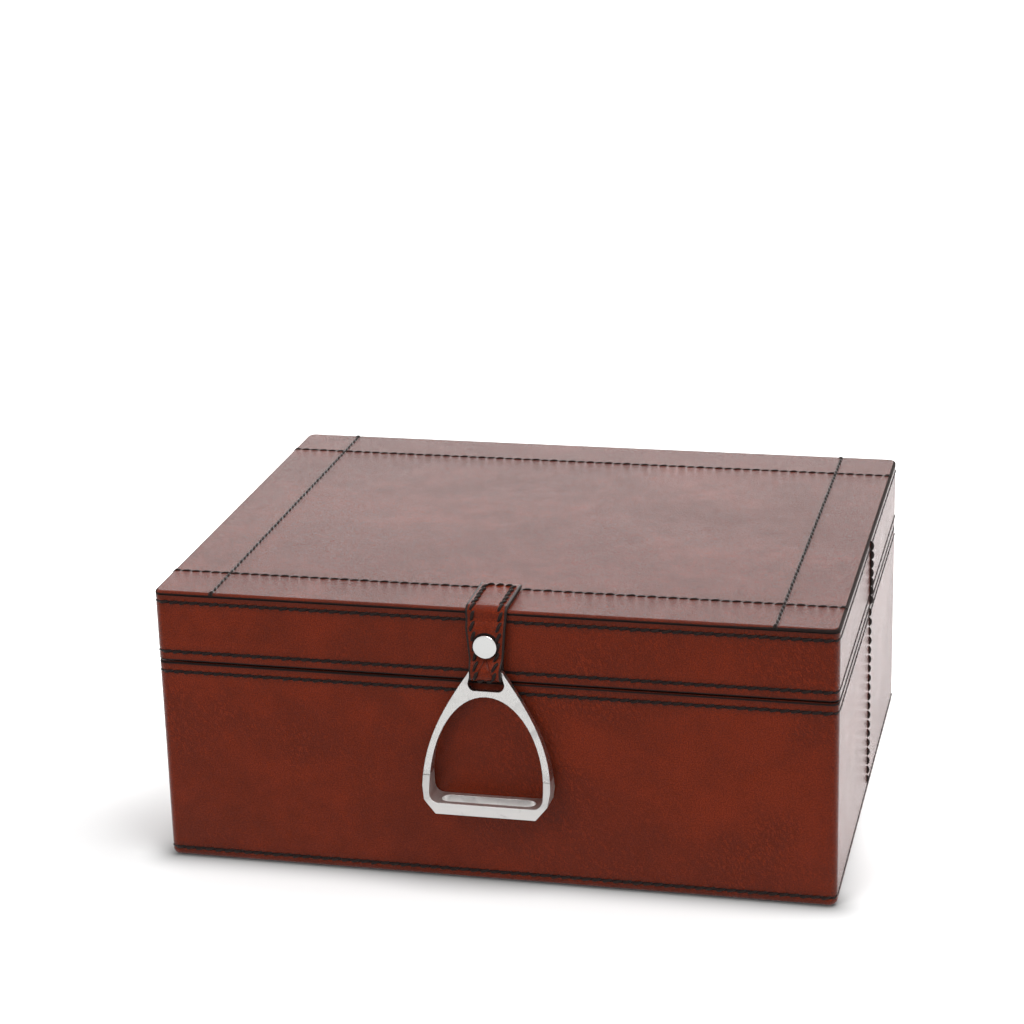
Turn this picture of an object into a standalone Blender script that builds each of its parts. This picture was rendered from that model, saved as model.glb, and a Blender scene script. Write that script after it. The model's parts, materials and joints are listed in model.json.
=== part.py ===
"""Leather-covered box with a hinged lid and a stirrup pull, as separate pieces.

Metres, +Z up. The origin is the middle of the box's footprint on the surface it stands on,
+X is to the right of someone who faces the pull, and +Y runs to the hinged side.
"""
import math

import bmesh
import bpy
from mathutils import Matrix, Vector

# Overall size of the closed box, without the pull and the hinge barrels
WIDTH = 0.360
DEPTH = 0.280
HEIGHT = 0.153
LID_HEIGHT = 0.0395
CORNER_RADIUS = 0.0045
FOOT_RADIUS = 0.003

# Clearances and tolerances
SEAT_GAP = 0.0003
SEAM_RECESS = 0.0005
CUT_OVERRUN = 0.004
WELD_SPAN = 0.00001

# Thicknesses of the build-up, from the outside in
HIDE = 0.0016
TOP_HIDE = 0.0018
TOP_EDGE_RADIUS = 0.0014
RIM_HIDE = 0.0012
WALL_BOARD = 0.009
TOP_BOARD = 0.007
FLOOR_BOARD = 0.006
LINING = 0.001
HIDE_LIFT = 0.0005
TURN_IN = 0.014

# Butt hinges
HINGE_SPREAD_SHARE = 0.6
LEAF_LENGTH = 0.036
LEAF_INSET = 0.0009
KNUCKLE_RADIUS = 0.0022
KNUCKLE_COUNT = 5
PIN_RADIUS = 0.001
PIN_END = 0.0004
SCREWS_PER_LEAF = 2
SCREW_PITCH = 0.020
SCREW_HEAD_RADIUS = 0.0021
SCREW_HEAD_HEIGHT = 0.0011
SCREW_RADIUS = 0.001
SCREW_LENGTH = 0.008
SCREW_TIP = 0.0015
SCREW_SINK = 0.0001

# Pull strap
STRAP = 0.002
STRAP_TOP_RUN = 0.033
STRAP_TOP_WIDTH = 0.0218
STRAP_STUD_WIDTH = 0.020
STRAP_LOOP_WIDTH = 0.0166
STRAP_TAIL = 0.0075
STRAP_EASE_SHARE = 0.75
BAR_RISE = 0.0066

# Stud that holds the strap to the lid
STUD_RISE_SHARE = 0.544
STUD_HEAD_RADIUS = 0.00625
STUD_HEAD_HEIGHT = 0.0022
STUD_EDGE = 0.0007
STUD_RADIUS = 0.0015
BURR_RADIUS = 0.004
BURR_HEIGHT = 0.0012
BURR_POCKET = 0.002

# Stirrup, in its own plane. Drops run down from the middle of its top bar
BAR_HEIGHT = 0.003
BAR_DEPTH = 0.0034
HORN_WIDTH = 0.0013
SHOULDER_ROUND = 0.0024
SHOULDER_DROP = 0.0008
SHOULDER_FLARE_SHARE = 0.687
SHOULDER_PULL = 0.0224
EYE_FLARE = 0.0011
EYE_CORNER_WIDTH = 0.0031
EYE_CORNER_HEIGHT = 0.0039
EYE_ROOM = 0.0052
CROWN_HEIGHT = 0.003
CROWN_PULL = 0.0167
ARM_WIDTH = 0.0037
ARCH_FOOT_RISE = 0.015
ARCH_PULL = 0.0254
HIP_HALF_WIDTH = 0.0339
HIP_RISE = 0.0144
HIP_PULL = 0.0228
HEEL_RISE = 0.0075
HEEL_INSET = 0.0012
SOLE_INSET = 0.0074
SOLE_DROP = 0.076
TREAD_HEIGHT = 0.006
TREAD_FILLET = 0.005
TREAD_DEPTH = 0.016
SLOT_END = 0.0015
SLOT_RAIL = 0.0035
JOINT_RISE = 0.020
STIRRUP_EDGE = 0.0006
SHARP_ANGLE = math.radians(40)
# How deep the stirrup is at each drop: shares of the sole's drop, and of the tread's depth
ARM_DROP_SHARES = (0.17, 0.36, 0.55, 0.68, 0.78, 0.86, 0.92)
ARM_DEPTH_SHARES = (0.22, 0.27, 0.36, 0.49, 0.66, 0.85, 1.0)

# Facets
CORNER_STEPS = 4
FOOT_STEPS = 2
EDGE_STEPS = 2
BARREL_STEPS = 16
SCREW_STEPS = 10
STUD_STEPS = 32
BEND_STEPS = 6
EASE_STEPS = 5
LOOP_STEPS = 12
SIDE_STEPS = 14
ARCH_STEPS = 16
FILLET_STEPS = 4

# Heights of the layers above the surface that the box stands on
SEAM_Z = HEIGHT - LID_HEIGHT
BASE_RIM_TOP = SEAM_Z - SEAT_GAP / 2
BASE_RIM_FOOT = BASE_RIM_TOP - RIM_HIDE
BASE_BOARD_TOP = BASE_RIM_FOOT - SEAT_GAP
BASE_HIDE_TOP = BASE_RIM_TOP - SEAM_RECESS
BASE_BOARD_FOOT = HIDE_LIFT + HIDE + SEAT_GAP
FLOOR_TOP = BASE_BOARD_FOOT + FLOOR_BOARD
LID_RIM_FOOT = SEAM_Z + SEAT_GAP / 2
LID_RIM_TOP = LID_RIM_FOOT + RIM_HIDE
LID_BOARD_FOOT = LID_RIM_TOP + SEAT_GAP
LID_HIDE_FOOT = LID_RIM_FOOT + SEAM_RECESS
TOP_HIDE_FOOT = HEIGHT - TOP_HIDE
LID_BOARD_TOP = TOP_HIDE_FOOT - SEAT_GAP
CEILING_Z = LID_BOARD_TOP - TOP_BOARD

# Half sizes in plan at each layer of the wall
BOARD_INSET = HIDE + SEAT_GAP
BOARD_X = WIDTH / 2 - BOARD_INSET
BOARD_Y = DEPTH / 2 - BOARD_INSET
INNER_X = BOARD_X - WALL_BOARD
INNER_Y = BOARD_Y - WALL_BOARD
LINING_X = INNER_X - SEAT_GAP
LINING_Y = INNER_Y - SEAT_GAP
CAVITY_X = LINING_X - LINING
CAVITY_Y = LINING_Y - LINING
BOARD_CORNER = CORNER_RADIUS - BOARD_INSET
BOARD_FOOT_RADIUS = FOOT_RADIUS - BOARD_INSET

# Hinge axis, and where the screws go
HINGE_Y = DEPTH / 2 + SEAT_GAP + KNUCKLE_RADIUS
HINGE_Z = SEAM_Z
LEAF_Y = INNER_Y + LEAF_INSET
SCREW_Y = (BOARD_Y + INNER_Y) / 2

# Strap loop and the bar in it
BAR_REACH = math.hypot(BAR_HEIGHT / 2 - STIRRUP_EDGE, BAR_DEPTH / 2 - STIRRUP_EDGE) + STIRRUP_EDGE
LOOP_RADIUS = BAR_REACH + SEAT_GAP
FACE_Y = -DEPTH / 2
TAIL_LINE = SEAT_GAP + STRAP / 2
STUD_LINE = TAIL_LINE + STRAP + SEAT_GAP
LOOP_LINE = TAIL_LINE + STRAP + 2 * LOOP_RADIUS
BAR_Y = FACE_Y - TAIL_LINE - STRAP / 2 - LOOP_RADIUS
BAR_Z = SEAM_Z + BAR_RISE
STUD_Z = SEAM_Z + STUD_RISE_SHARE * LID_HEIGHT
TAIL_Z = STUD_Z + STRAP_TAIL

# Widths and drops of the stirrup
EYE_TOP_HALF_WIDTH = STRAP_LOOP_WIDTH / 2 + SEAT_GAP
EYE_HALF_WIDTH = EYE_TOP_HALF_WIDTH + EYE_FLARE
EYE_FLOOR_HALF_WIDTH = EYE_HALF_WIDTH - EYE_CORNER_WIDTH
EYE_FLOOR_DROP = LOOP_RADIUS + STRAP + EYE_ROOM
EYE_WIDEST_DROP = EYE_FLOOR_DROP - EYE_CORNER_HEIGHT
SHOULDER_HALF_WIDTH = EYE_TOP_HALF_WIDTH + HORN_WIDTH
BAR_HALF_WIDTH = SHOULDER_HALF_WIDTH - SHOULDER_ROUND
CROWN_DROP = EYE_FLOOR_DROP + CROWN_HEIGHT
ARCH_HALF_WIDTH = HIP_HALF_WIDTH - ARM_WIDTH
HEEL_HALF_WIDTH = HIP_HALF_WIDTH - HEEL_INSET
SOLE_HALF_WIDTH = HIP_HALF_WIDTH - SOLE_INSET
ARCH_FOOT_DROP = SOLE_DROP - ARCH_FOOT_RISE
HIP_DROP = SOLE_DROP - HIP_RISE
HEEL_DROP = SOLE_DROP - HEEL_RISE
JOINT_DROP = SOLE_DROP - JOINT_RISE

COLOURS = {
    "hide": ((0.150, 0.022, 0.011, 1.0), 0.32, 0.0),
    "rim": ((0.045, 0.014, 0.009, 1.0), 0.50, 0.0),
    "board": ((0.420, 0.270, 0.150, 1.0), 0.70, 0.0),
    "lining": ((0.035, 0.018, 0.013, 1.0), 0.90, 0.0),
    "pad": ((0.020, 0.018, 0.017, 1.0), 0.95, 0.0),
    "brass": ((0.600, 0.440, 0.200, 1.0), 0.35, 1.0),
    "steel": ((0.780, 0.780, 0.770, 1.0), 0.18, 1.0),
}

UPRIGHT_X = Matrix(((1, 0, 0, 0), (0, 0, -1, 0), (0, 1, 0, 0), (0, 0, 0, 1)))
UPRIGHT_Y = Matrix(((0, 0, 1, 0), (1, 0, 0, 0), (0, 1, 0, 0), (0, 0, 0, 1)))


def clear_scene():
    """Remove whatever objects the file holds."""
    for item in list(bpy.data.objects):
        bpy.data.objects.remove(item, do_unlink=True)


def new_collection(name):
    """Make a collection under the scene."""
    group = bpy.data.collections.new(name)
    bpy.context.scene.collection.children.link(group)
    return group


def new_material(name):
    """Make a Principled material from the colour table."""
    colour, roughness, metallic = COLOURS[name]
    material = bpy.data.materials.new(name)
    material.use_nodes = True
    shader = material.node_tree.nodes["Principled BSDF"]
    shader.inputs["Base Color"].default_value = colour
    shader.inputs["Roughness"].default_value = roughness
    shader.inputs["Metallic"].default_value = metallic
    material.diffuse_color = colour
    return material


def mesh_from(name, work):
    """Turn a working mesh into mesh data, and free it."""
    mesh = bpy.data.meshes.new(name)
    work.to_mesh(mesh)
    work.free()
    return mesh


def add_piece(name, mesh, material_name, parent=None):
    """Add a sub-part to the model, with its own copy of the material."""
    piece = bpy.data.objects.new(name, mesh)
    PIECES.objects.link(piece)
    material = new_material(material_name)
    material.name = name + "_" + material_name
    mesh.materials.clear()
    mesh.materials.append(material)
    if parent is not None:
        piece.parent = parent
    return piece


def add_cutter(name, mesh, parent=None):
    """Add a cutting or joining body, which isn't part of the model."""
    cutter = bpy.data.objects.new(name, mesh)
    CUTTERS.objects.link(cutter)
    cutter.hide_render = True
    cutter.display_type = "WIRE"
    if parent is not None:
        cutter.parent = parent
    return cutter


def combine(piece, operand, operation):
    """Join, cut or trim a piece with another body."""
    modifier = piece.modifiers.new(operand.name, "BOOLEAN")
    modifier.object = operand
    modifier.operation = operation
    modifier.solver = "EXACT"


def block(low, high):
    """Working mesh of a box between two corners."""
    low, high = Vector(low), Vector(high)
    size = high - low
    place = Matrix.Translation((low + high) / 2) @ Matrix.Diagonal((*size, 1))
    work = bmesh.new()
    bmesh.ops.create_cube(work, size=1, matrix=place)
    return work


def edge_middle(edge):
    """Middle point of an edge."""
    return (edge.verts[0].co + edge.verts[1].co) / 2


def is_upright(edge):
    """True for an edge that runs along Z."""
    run = edge.verts[1].co - edge.verts[0].co
    return abs(run.z) > abs(run.x) + abs(run.y)


def soften(work, edges, radius, steps):
    """Round a set of edges."""
    bmesh.ops.bevel(work, geom=list(edges), offset=radius, segments=steps, profile=0.5, affect="EDGES")


def soften_level(work, height, radius, steps):
    """Round the level edges that lie at one height round the outside."""
    edges = [e for e in work.edges if not is_upright(e) and abs(edge_middle(e).z - height) < WELD_SPAN]
    soften(work, edges, radius, steps)


def plate(outlines, thickness, frame):
    """Mesh of a flat outline with its holes, thick both ways from the plane of the frame."""
    curve = bpy.data.curves.new("outline", "CURVE")
    curve.dimensions = "2D"
    curve.fill_mode = "BOTH"
    curve.extrude = thickness / 2
    for points in outlines:
        spline = curve.splines.new("POLY")
        spline.points.add(len(points) - 1)
        spline.use_cyclic_u = True
        for point, (across, along) in zip(spline.points, points):
            point.co = (across, along, 0, 1)
    holder = bpy.data.objects.new("outline", curve)
    PIECES.objects.link(holder)
    holder.matrix_world = frame
    bpy.context.view_layer.update()
    graph = bpy.context.evaluated_depsgraph_get()
    mesh = bpy.data.meshes.new_from_object(holder.evaluated_get(graph))
    work = bmesh.new()
    work.from_mesh(mesh)
    work.transform(frame)
    bmesh.ops.remove_doubles(work, verts=work.verts, dist=WELD_SPAN)
    bmesh.ops.recalc_face_normals(work, faces=work.faces)
    work.to_mesh(mesh)
    work.free()
    bpy.data.objects.remove(holder, do_unlink=True)
    bpy.data.curves.remove(curve)
    return mesh


def turned(profile, steps):
    """Mesh of a profile turned about Z. The profile is (radius, height), from the top down."""
    mesh = bpy.data.meshes.new("profile")
    points = [(radius, 0, height) for radius, height in profile]
    mesh.from_pydata(points, [(i, i + 1) for i in range(len(points) - 1)], [])
    holder = bpy.data.objects.new("profile", mesh)
    PIECES.objects.link(holder)
    screw = holder.modifiers.new("turn", "SCREW")
    screw.steps = steps
    screw.render_steps = steps
    screw.use_merge_vertices = True
    screw.merge_threshold = WELD_SPAN
    bpy.context.view_layer.update()
    graph = bpy.context.evaluated_depsgraph_get()
    result = bpy.data.meshes.new_from_object(holder.evaluated_get(graph))
    bpy.data.objects.remove(holder, do_unlink=True)
    work = bmesh.new()
    work.from_mesh(result)
    bmesh.ops.remove_doubles(work, verts=work.verts, dist=WELD_SPAN)
    bmesh.ops.recalc_face_normals(work, faces=work.faces)
    work.to_mesh(result)
    work.free()
    return result


def copies(mesh, places):
    """One mesh that holds a copy of another at each place."""
    work = bmesh.new()
    for place in places:
        moved = mesh.copy()
        moved.transform(place)
        work.from_mesh(moved)
        bpy.data.meshes.remove(moved)
    return mesh_from(mesh.name, work)


def rectangle(half_x, half_y):
    """Outline of a plain rectangle."""
    return [(half_x, half_y), (-half_x, half_y), (-half_x, -half_y), (half_x, -half_y)]


def arc(centre, radius, start, end, steps):
    """Points along an arc, both ends included. Angles are in radians."""
    turns = [start + (end - start) * i / steps for i in range(steps + 1)]
    return [(centre[0] + radius * math.cos(t), centre[1] + radius * math.sin(t)) for t in turns]


def rounded_rectangle(half_x, half_y, radius, steps):
    """Outline of a rectangle with round corners."""
    points = []
    for quarter, (side_x, side_y) in enumerate(((1, 1), (-1, 1), (-1, -1), (1, -1))):
        centre = (side_x * (half_x - radius), side_y * (half_y - radius))
        start = quarter * math.pi / 2
        points += arc(centre, radius, start, start + math.pi / 2, steps)
    return points


def sweep_curve(start, start_pull, end_pull, end, steps):
    """Points along a cubic curve, both ends included."""
    points = []
    for i in range(steps + 1):
        t = i / steps
        weights = ((1 - t) ** 3, 3 * (1 - t) ** 2 * t, 3 * (1 - t) * t ** 2, t ** 3)
        anchors = (start, start_pull, end_pull, end)
        points.append(tuple(sum(w * a[k] for w, a in zip(weights, anchors)) for k in (0, 1)))
    return points


def ease(share):
    """Smooth step from 0 to 1."""
    return share * share * (3 - 2 * share)


def wrap_hide(name, foot, top, folded, side, parent=None):
    """A hide that goes round half of the box, with its foot turned in where it is folded."""
    work = block((-WIDTH / 2, -DEPTH / 2, foot), (WIDTH / 2, DEPTH / 2, top))
    soften(work, [e for e in work.edges if is_upright(e)], CORNER_RADIUS, CORNER_STEPS)
    if folded:
        soften_level(work, foot, FOOT_RADIUS, FOOT_STEPS)
    ends = [f for f in work.faces if abs(f.normal.z) > math.cos(math.pi / 12)]
    bmesh.ops.delete(work, geom=ends, context="FACES_ONLY")
    if folded:
        hem = [e for e in work.edges if e.is_boundary and abs(edge_middle(e).z - foot) < WELD_SPAN]
        grown = bmesh.ops.extrude_edge_only(work, edges=hem)["geom"]
        reach_x, reach_y = WIDTH / 2 - TURN_IN, DEPTH / 2 - TURN_IN
        for vert in grown:
            if isinstance(vert, bmesh.types.BMVert):
                vert.co.x = max(-reach_x, min(reach_x, vert.co.x))
                vert.co.y = max(-reach_y, min(reach_y, vert.co.y))
        bmesh.ops.remove_doubles(work, verts=work.verts, dist=WELD_SPAN)
    bmesh.ops.bisect_plane(work, geom=[*work.verts, *work.edges, *work.faces], dist=WELD_SPAN,
                           plane_co=(0, side * SEAT_GAP / 2, 0), plane_no=(0, -side, 0), clear_outer=True)
    loose = [v for v in work.verts if not v.link_faces]
    bmesh.ops.delete(work, geom=loose, context="VERTS")
    piece = add_piece(name, mesh_from(name, work), "hide", parent)
    shell = piece.modifiers.new("thickness", "SOLIDIFY")
    shell.thickness = HIDE
    shell.offset = -1
    shell.use_even_offset = True
    return piece


def wall_boards(prefix, foot, top, foot_radius, parent=None):
    """The four wall boards: front and back run the full width, the ends stand between them."""
    boards = {}
    end_y = INNER_Y - SEAT_GAP
    spans = {
        "front": ((-BOARD_X, -BOARD_Y, foot), (BOARD_X, -INNER_Y, top)),
        "back": ((-BOARD_X, INNER_Y, foot), (BOARD_X, BOARD_Y, top)),
        "left": ((-BOARD_X, -end_y, foot), (-INNER_X, end_y, top)),
        "right": ((INNER_X, -end_y, foot), (BOARD_X, end_y, top)),
    }
    for side, (low, high) in spans.items():
        work = block(low, high)
        corners = []
        for edge in work.edges:
            middle = edge_middle(edge)
            outer_y = abs(abs(middle.y) - BOARD_Y) < WELD_SPAN
            outer_x = abs(abs(middle.x) - BOARD_X) < WELD_SPAN
            if is_upright(edge) and outer_x and outer_y:
                corners.append(edge)
        if corners:
            soften(work, corners, BOARD_CORNER, CORNER_STEPS)
        if foot_radius > 0:
            hem = []
            for edge in work.edges:
                middle = edge_middle(edge)
                level = not is_upright(edge) and abs(middle.z - foot) < WELD_SPAN
                inside_x = abs(middle.x) < INNER_X + WELD_SPAN
                inside_y = abs(middle.y) < INNER_Y + WELD_SPAN
                ends = side in ("left", "right") and abs(middle.y) > end_y - WELD_SPAN
                if level and not (inside_x and inside_y) and not ends:
                    hem.append(edge)
            soften(work, hem, foot_radius, FOOT_STEPS)
        name = prefix + "_" + side + "_board"
        boards[side] = add_piece(name, mesh_from(name, work), "board", parent)
    return boards


def rim_hide(name, foot, top, parent=None):
    """The strip of hide that covers the tops of the boards and of the lining."""
    outlines = [rounded_rectangle(BOARD_X, BOARD_Y, BOARD_CORNER, CORNER_STEPS),
                rectangle(CAVITY_X, CAVITY_Y)]
    mesh = plate(outlines, top - foot, Matrix.Translation((0, 0, (foot + top) / 2)))
    return add_piece(name, mesh, "rim", parent)


def wall_lining(name, foot, top, parent=None):
    """The lining round the four inner walls."""
    outlines = [rectangle(LINING_X, LINING_Y), rectangle(CAVITY_X, CAVITY_Y)]
    mesh = plate(outlines, top - foot, Matrix.Translation((0, 0, (foot + top) / 2)))
    return add_piece(name, mesh, "lining", parent)


def panel(name, half_x, half_y, foot, top, material_name, parent=None):
    """A flat rectangular panel."""
    work = block((-half_x, -half_y, foot), (half_x, half_y, top))
    return add_piece(name, mesh_from(name, work), material_name, parent)


def build_base():
    """Boards, hides, rim, linings and the pad underneath."""
    boards = wall_boards("base", BASE_BOARD_FOOT, BASE_BOARD_TOP, BOARD_FOOT_RADIUS)
    panel("base_bottom_board", LINING_X, LINING_Y, BASE_BOARD_FOOT, FLOOR_TOP, "board")
    wrap_hide("base_front_leather", HIDE_LIFT, BASE_HIDE_TOP, True, -1)
    back = wrap_hide("base_back_leather", HIDE_LIFT, BASE_HIDE_TOP, True, 1)
    rim = rim_hide("base_rim_leather", BASE_RIM_FOOT, BASE_RIM_TOP)
    pad_inset = TURN_IN + SEAT_GAP
    panel("base_bottom_pad", WIDTH / 2 - pad_inset, DEPTH / 2 - pad_inset, 0, HIDE_LIFT + HIDE, "pad")
    lining_foot = FLOOR_TOP + SEAT_GAP
    wall_lining("base_wall_lining", lining_foot, BASE_BOARD_TOP)
    panel("base_floor_lining", CAVITY_X - SEAT_GAP, CAVITY_Y - SEAT_GAP,
          lining_foot, lining_foot + LINING, "lining")
    return boards, back, rim


def build_lid(pivot):
    """Boards, hides, rim and linings of the lid."""
    boards = wall_boards("lid", LID_BOARD_FOOT, LID_BOARD_TOP, 0, pivot)
    panel("lid_top_board", LINING_X, LINING_Y, CEILING_Z, LID_BOARD_TOP, "board", pivot)
    front = wrap_hide("lid_front_leather", LID_HIDE_FOOT, LID_BOARD_TOP, False, -1, pivot)
    back = wrap_hide("lid_back_leather", LID_HIDE_FOOT, LID_BOARD_TOP, False, 1, pivot)
    work = block((-WIDTH / 2, -DEPTH / 2, TOP_HIDE_FOOT), (WIDTH / 2, DEPTH / 2, HEIGHT))
    soften(work, [e for e in work.edges if is_upright(e)], CORNER_RADIUS, CORNER_STEPS)
    soften_level(work, HEIGHT, TOP_EDGE_RADIUS, EDGE_STEPS)
    add_piece("lid_top_leather", mesh_from("lid_top_leather", work), "hide", pivot)
    rim = rim_hide("lid_rim_leather", LID_RIM_FOOT, LID_RIM_TOP, pivot)
    lining_top = CEILING_Z - SEAT_GAP
    wall_lining("lid_wall_lining", LID_BOARD_FOOT, lining_top, pivot)
    panel("lid_top_lining", CAVITY_X - SEAT_GAP, CAVITY_Y - SEAT_GAP,
          lining_top - LINING, lining_top, "lining", pivot)
    return boards, front, back, rim


def knuckle_outline(side):
    """Section of one knuckle and its tongue, in Y and Z from the hinge axis. Side -1 is the base."""
    near, far = SEAT_GAP / 2, SEAT_GAP / 2 + RIM_HIDE
    radius = KNUCKLE_RADIUS
    first = math.pi + math.asin(far / radius) - 2 * math.pi
    last = math.pi + math.asin(near / radius)
    points = arc((0, 0), radius, first, last, BARREL_STEPS)
    tongue = -(2 * radius + SEAT_GAP)
    points += [(tongue, -near), (tongue, -far)]
    return [(y, -side * z) for y, z in points]


def knuckle_spans():
    """Where each knuckle starts and ends along the barrel, from the leaf's middle."""
    length = (LEAF_LENGTH - (KNUCKLE_COUNT - 1) * SEAT_GAP) / KNUCKLE_COUNT
    starts = [-LEAF_LENGTH / 2 + i * (length + SEAT_GAP) for i in range(KNUCKLE_COUNT)]
    return [(start, start + length) for start in starts]


def screw_mesh(clearance, extra):
    """A countersunk screw, its head's face at the origin, or the hole for it."""
    head, shank = SCREW_HEAD_RADIUS + clearance, SCREW_RADIUS + clearance
    profile = [(0, extra)] + ([(head, extra)] if extra > 0 else [])
    profile += [(head, 0), (shank, -SCREW_HEAD_HEIGHT), (shank, -SCREW_LENGTH + SCREW_TIP),
                (0, -SCREW_LENGTH - clearance)]
    return turned(profile, SCREW_STEPS)


def screw_places(hinge_x, side):
    """Where a leaf's screws stand. Side -1 is the base leaf, whose screws point down."""
    rows = [hinge_x + (i - (SCREWS_PER_LEAF - 1) / 2) * SCREW_PITCH for i in range(SCREWS_PER_LEAF)]
    face = HINGE_Z + side * (SEAT_GAP / 2 + SCREW_SINK)
    turn = Matrix.Rotation(math.pi if side > 0 else 0, 4, "X")
    return [Matrix.Translation((x, SCREW_Y, face)) @ turn for x in rows]


def build_leaf(name, hinge_x, side, holes, parent):
    """One hinge leaf: its plate, its share of the knuckles, the bore and the screw holes."""
    high_y = HINGE_Y - KNUCKLE_RADIUS - SEAT_GAP
    near = HINGE_Z + side * SEAT_GAP / 2
    far = near + side * RIM_HIDE
    work = block((hinge_x - LEAF_LENGTH / 2, LEAF_Y, min(near, far)),
                 (hinge_x + LEAF_LENGTH / 2, high_y, max(near, far)))
    leaf = add_piece(name, mesh_from(name, work), "brass", parent)
    offset = Vector((0, 0, 0)) if parent is None else -parent.location
    leaf.location = offset
    own = [span for i, span in enumerate(knuckle_spans()) if i % 2 == (0 if side < 0 else 1)]
    for index, (start, end) in enumerate(own):
        middle = Matrix.Translation((hinge_x + (start + end) / 2, HINGE_Y, HINGE_Z)) @ UPRIGHT_Y
        bore = arc((0, 0), PIN_RADIUS + SEAT_GAP, 0, 2 * math.pi, BARREL_STEPS)[:-1]
        barrel = plate([knuckle_outline(side), bore], end - start, middle)
        combine(leaf, add_cutter(name + "_knuckle_" + str(index), barrel), "UNION")
    combine(leaf, holes, "DIFFERENCE")
    return leaf


def build_hinges(pivot, base_parts, lid_parts):
    """Two butt hinges let into the rims, with their pins, screws and the notches for them."""
    base_boards, base_back, base_rim = base_parts
    lid_boards, lid_front, lid_back, lid_rim = lid_parts
    spread = HINGE_SPREAD_SHARE * WIDTH
    sides = {"left": -spread / 2, "right": spread / 2}
    screws = screw_mesh(0, 0)
    screw_holes = screw_mesh(SEAT_GAP, CUT_OVERRUN)
    groups = {}
    for side, leaf in ((-1, "base"), (1, "lid")):
        parent = pivot if side > 0 else None
        places = []
        for label, x in sides.items():
            for number, place in enumerate(screw_places(x, side), start=1):
                places.append(place)
                name = "_".join((label, "hinge", leaf, "screw", str(number)))
                add_piece(name, copies(screws, [place]), "brass", parent)
        groups[side] = add_cutter(leaf + "_screw_holes", copies(screw_holes, places))
    combine(base_boards["back"], groups[-1], "DIFFERENCE")
    combine(lid_boards["back"], groups[1], "DIFFERENCE")
    for label, x in sides.items():
        build_leaf(label + "_hinge_base_leaf", x, -1, groups[-1], None)
        build_leaf(label + "_hinge_lid_leaf", x, 1, groups[1], pivot)
        half_pin = LEAF_LENGTH / 2 + PIN_END
        pin = plate([arc((0, 0), PIN_RADIUS, 0, 2 * math.pi, BARREL_STEPS)[:-1]], 2 * half_pin,
                    Matrix.Translation((x, HINGE_Y, HINGE_Z)) @ UPRIGHT_Y)
        add_piece(label + "_hinge_pin", pin, "steel")
        half_notch = LEAF_LENGTH / 2 + SEAT_GAP
        low_y = LEAF_Y - SEAT_GAP
        depth = LID_BOARD_FOOT - HINGE_Z
        notch = block((x - half_notch, low_y, HINGE_Z - depth), (x + half_notch, HINGE_Y, HINGE_Z + depth))
        cutter = add_cutter(label + "_hinge_notch", mesh_from(label + "_hinge_notch", notch))
        for piece in (base_back, base_rim, lid_back, lid_rim):
            combine(piece, cutter, "DIFFERENCE")


def strap_path():
    """Middle line of the strap in Y and Z, with its width at each point."""
    bend = TOP_EDGE_RADIUS + SEAT_GAP + STRAP / 2
    bend_centre = (FACE_Y + TOP_EDGE_RADIUS, HEIGHT - TOP_EDGE_RADIUS)
    points = [(FACE_Y + STRAP_TOP_RUN, HEIGHT + TAIL_LINE)]
    points += arc(bend_centre, bend, math.pi / 2, math.pi, BEND_STEPS)
    flat_top = TAIL_Z + STRAP / 2 - SEAT_GAP
    ease_top = flat_top + (bend_centre[1] - flat_top) * STRAP_EASE_SHARE
    for i in range(EASE_STEPS + 1):
        share = i / EASE_STEPS
        line = TAIL_LINE + (STUD_LINE - TAIL_LINE) * ease(share)
        points.append((FACE_Y - line, ease_top + (flat_top - ease_top) * share))
    stud_foot = STUD_Z - STUD_HEAD_RADIUS
    loop_top = BAR_Z + STRAP
    for i in range(EASE_STEPS + 1):
        share = i / EASE_STEPS
        line = STUD_LINE + (LOOP_LINE - STUD_LINE) * ease(share)
        points.append((FACE_Y - line, stud_foot + (loop_top - stud_foot) * share))
    points += arc((BAR_Y, BAR_Z), LOOP_RADIUS + STRAP / 2, math.pi, 2 * math.pi, LOOP_STEPS)
    points.append((FACE_Y - TAIL_LINE, TAIL_Z))
    return points


def strap_width(place, height, returned):
    """How wide the strap is at a height on the lid's front, or on its returned end."""
    if returned or height < BAR_Z + STRAP:
        return STRAP_LOOP_WIDTH
    if height < STUD_Z:
        share = (height - BAR_Z - STRAP) / (STUD_Z - BAR_Z - STRAP)
        return STRAP_LOOP_WIDTH + (STRAP_STUD_WIDTH - STRAP_LOOP_WIDTH) * share
    share = (min(height, HEIGHT) - STUD_Z) / (HEIGHT - STUD_Z)
    return STRAP_STUD_WIDTH + (STRAP_TOP_WIDTH - STRAP_STUD_WIDTH) * share


def build_strap(pivot):
    """The strap: over the lid's front edge, round the stirrup's bar and back up behind itself."""
    work = bmesh.new()
    path = strap_path()
    rails = []
    for index, (y, z) in enumerate(path):
        half = strap_width(y, z, index == len(path) - 1) / 2
        rails.append([work.verts.new((x, y, z)) for x in (-half, 0, half)])
    for upper, lower in zip(rails, rails[1:]):
        for k in range(len(upper) - 1):
            work.faces.new((upper[k], lower[k], lower[k + 1], upper[k + 1]))
    bmesh.ops.recalc_face_normals(work, faces=work.faces)
    strap = add_piece("pull_strap", mesh_from("pull_strap", work), "hide", pivot)
    shell = strap.modifiers.new("thickness", "SOLIDIFY")
    shell.thickness = STRAP
    shell.offset = 0
    shell.use_even_offset = True
    return strap


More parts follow.
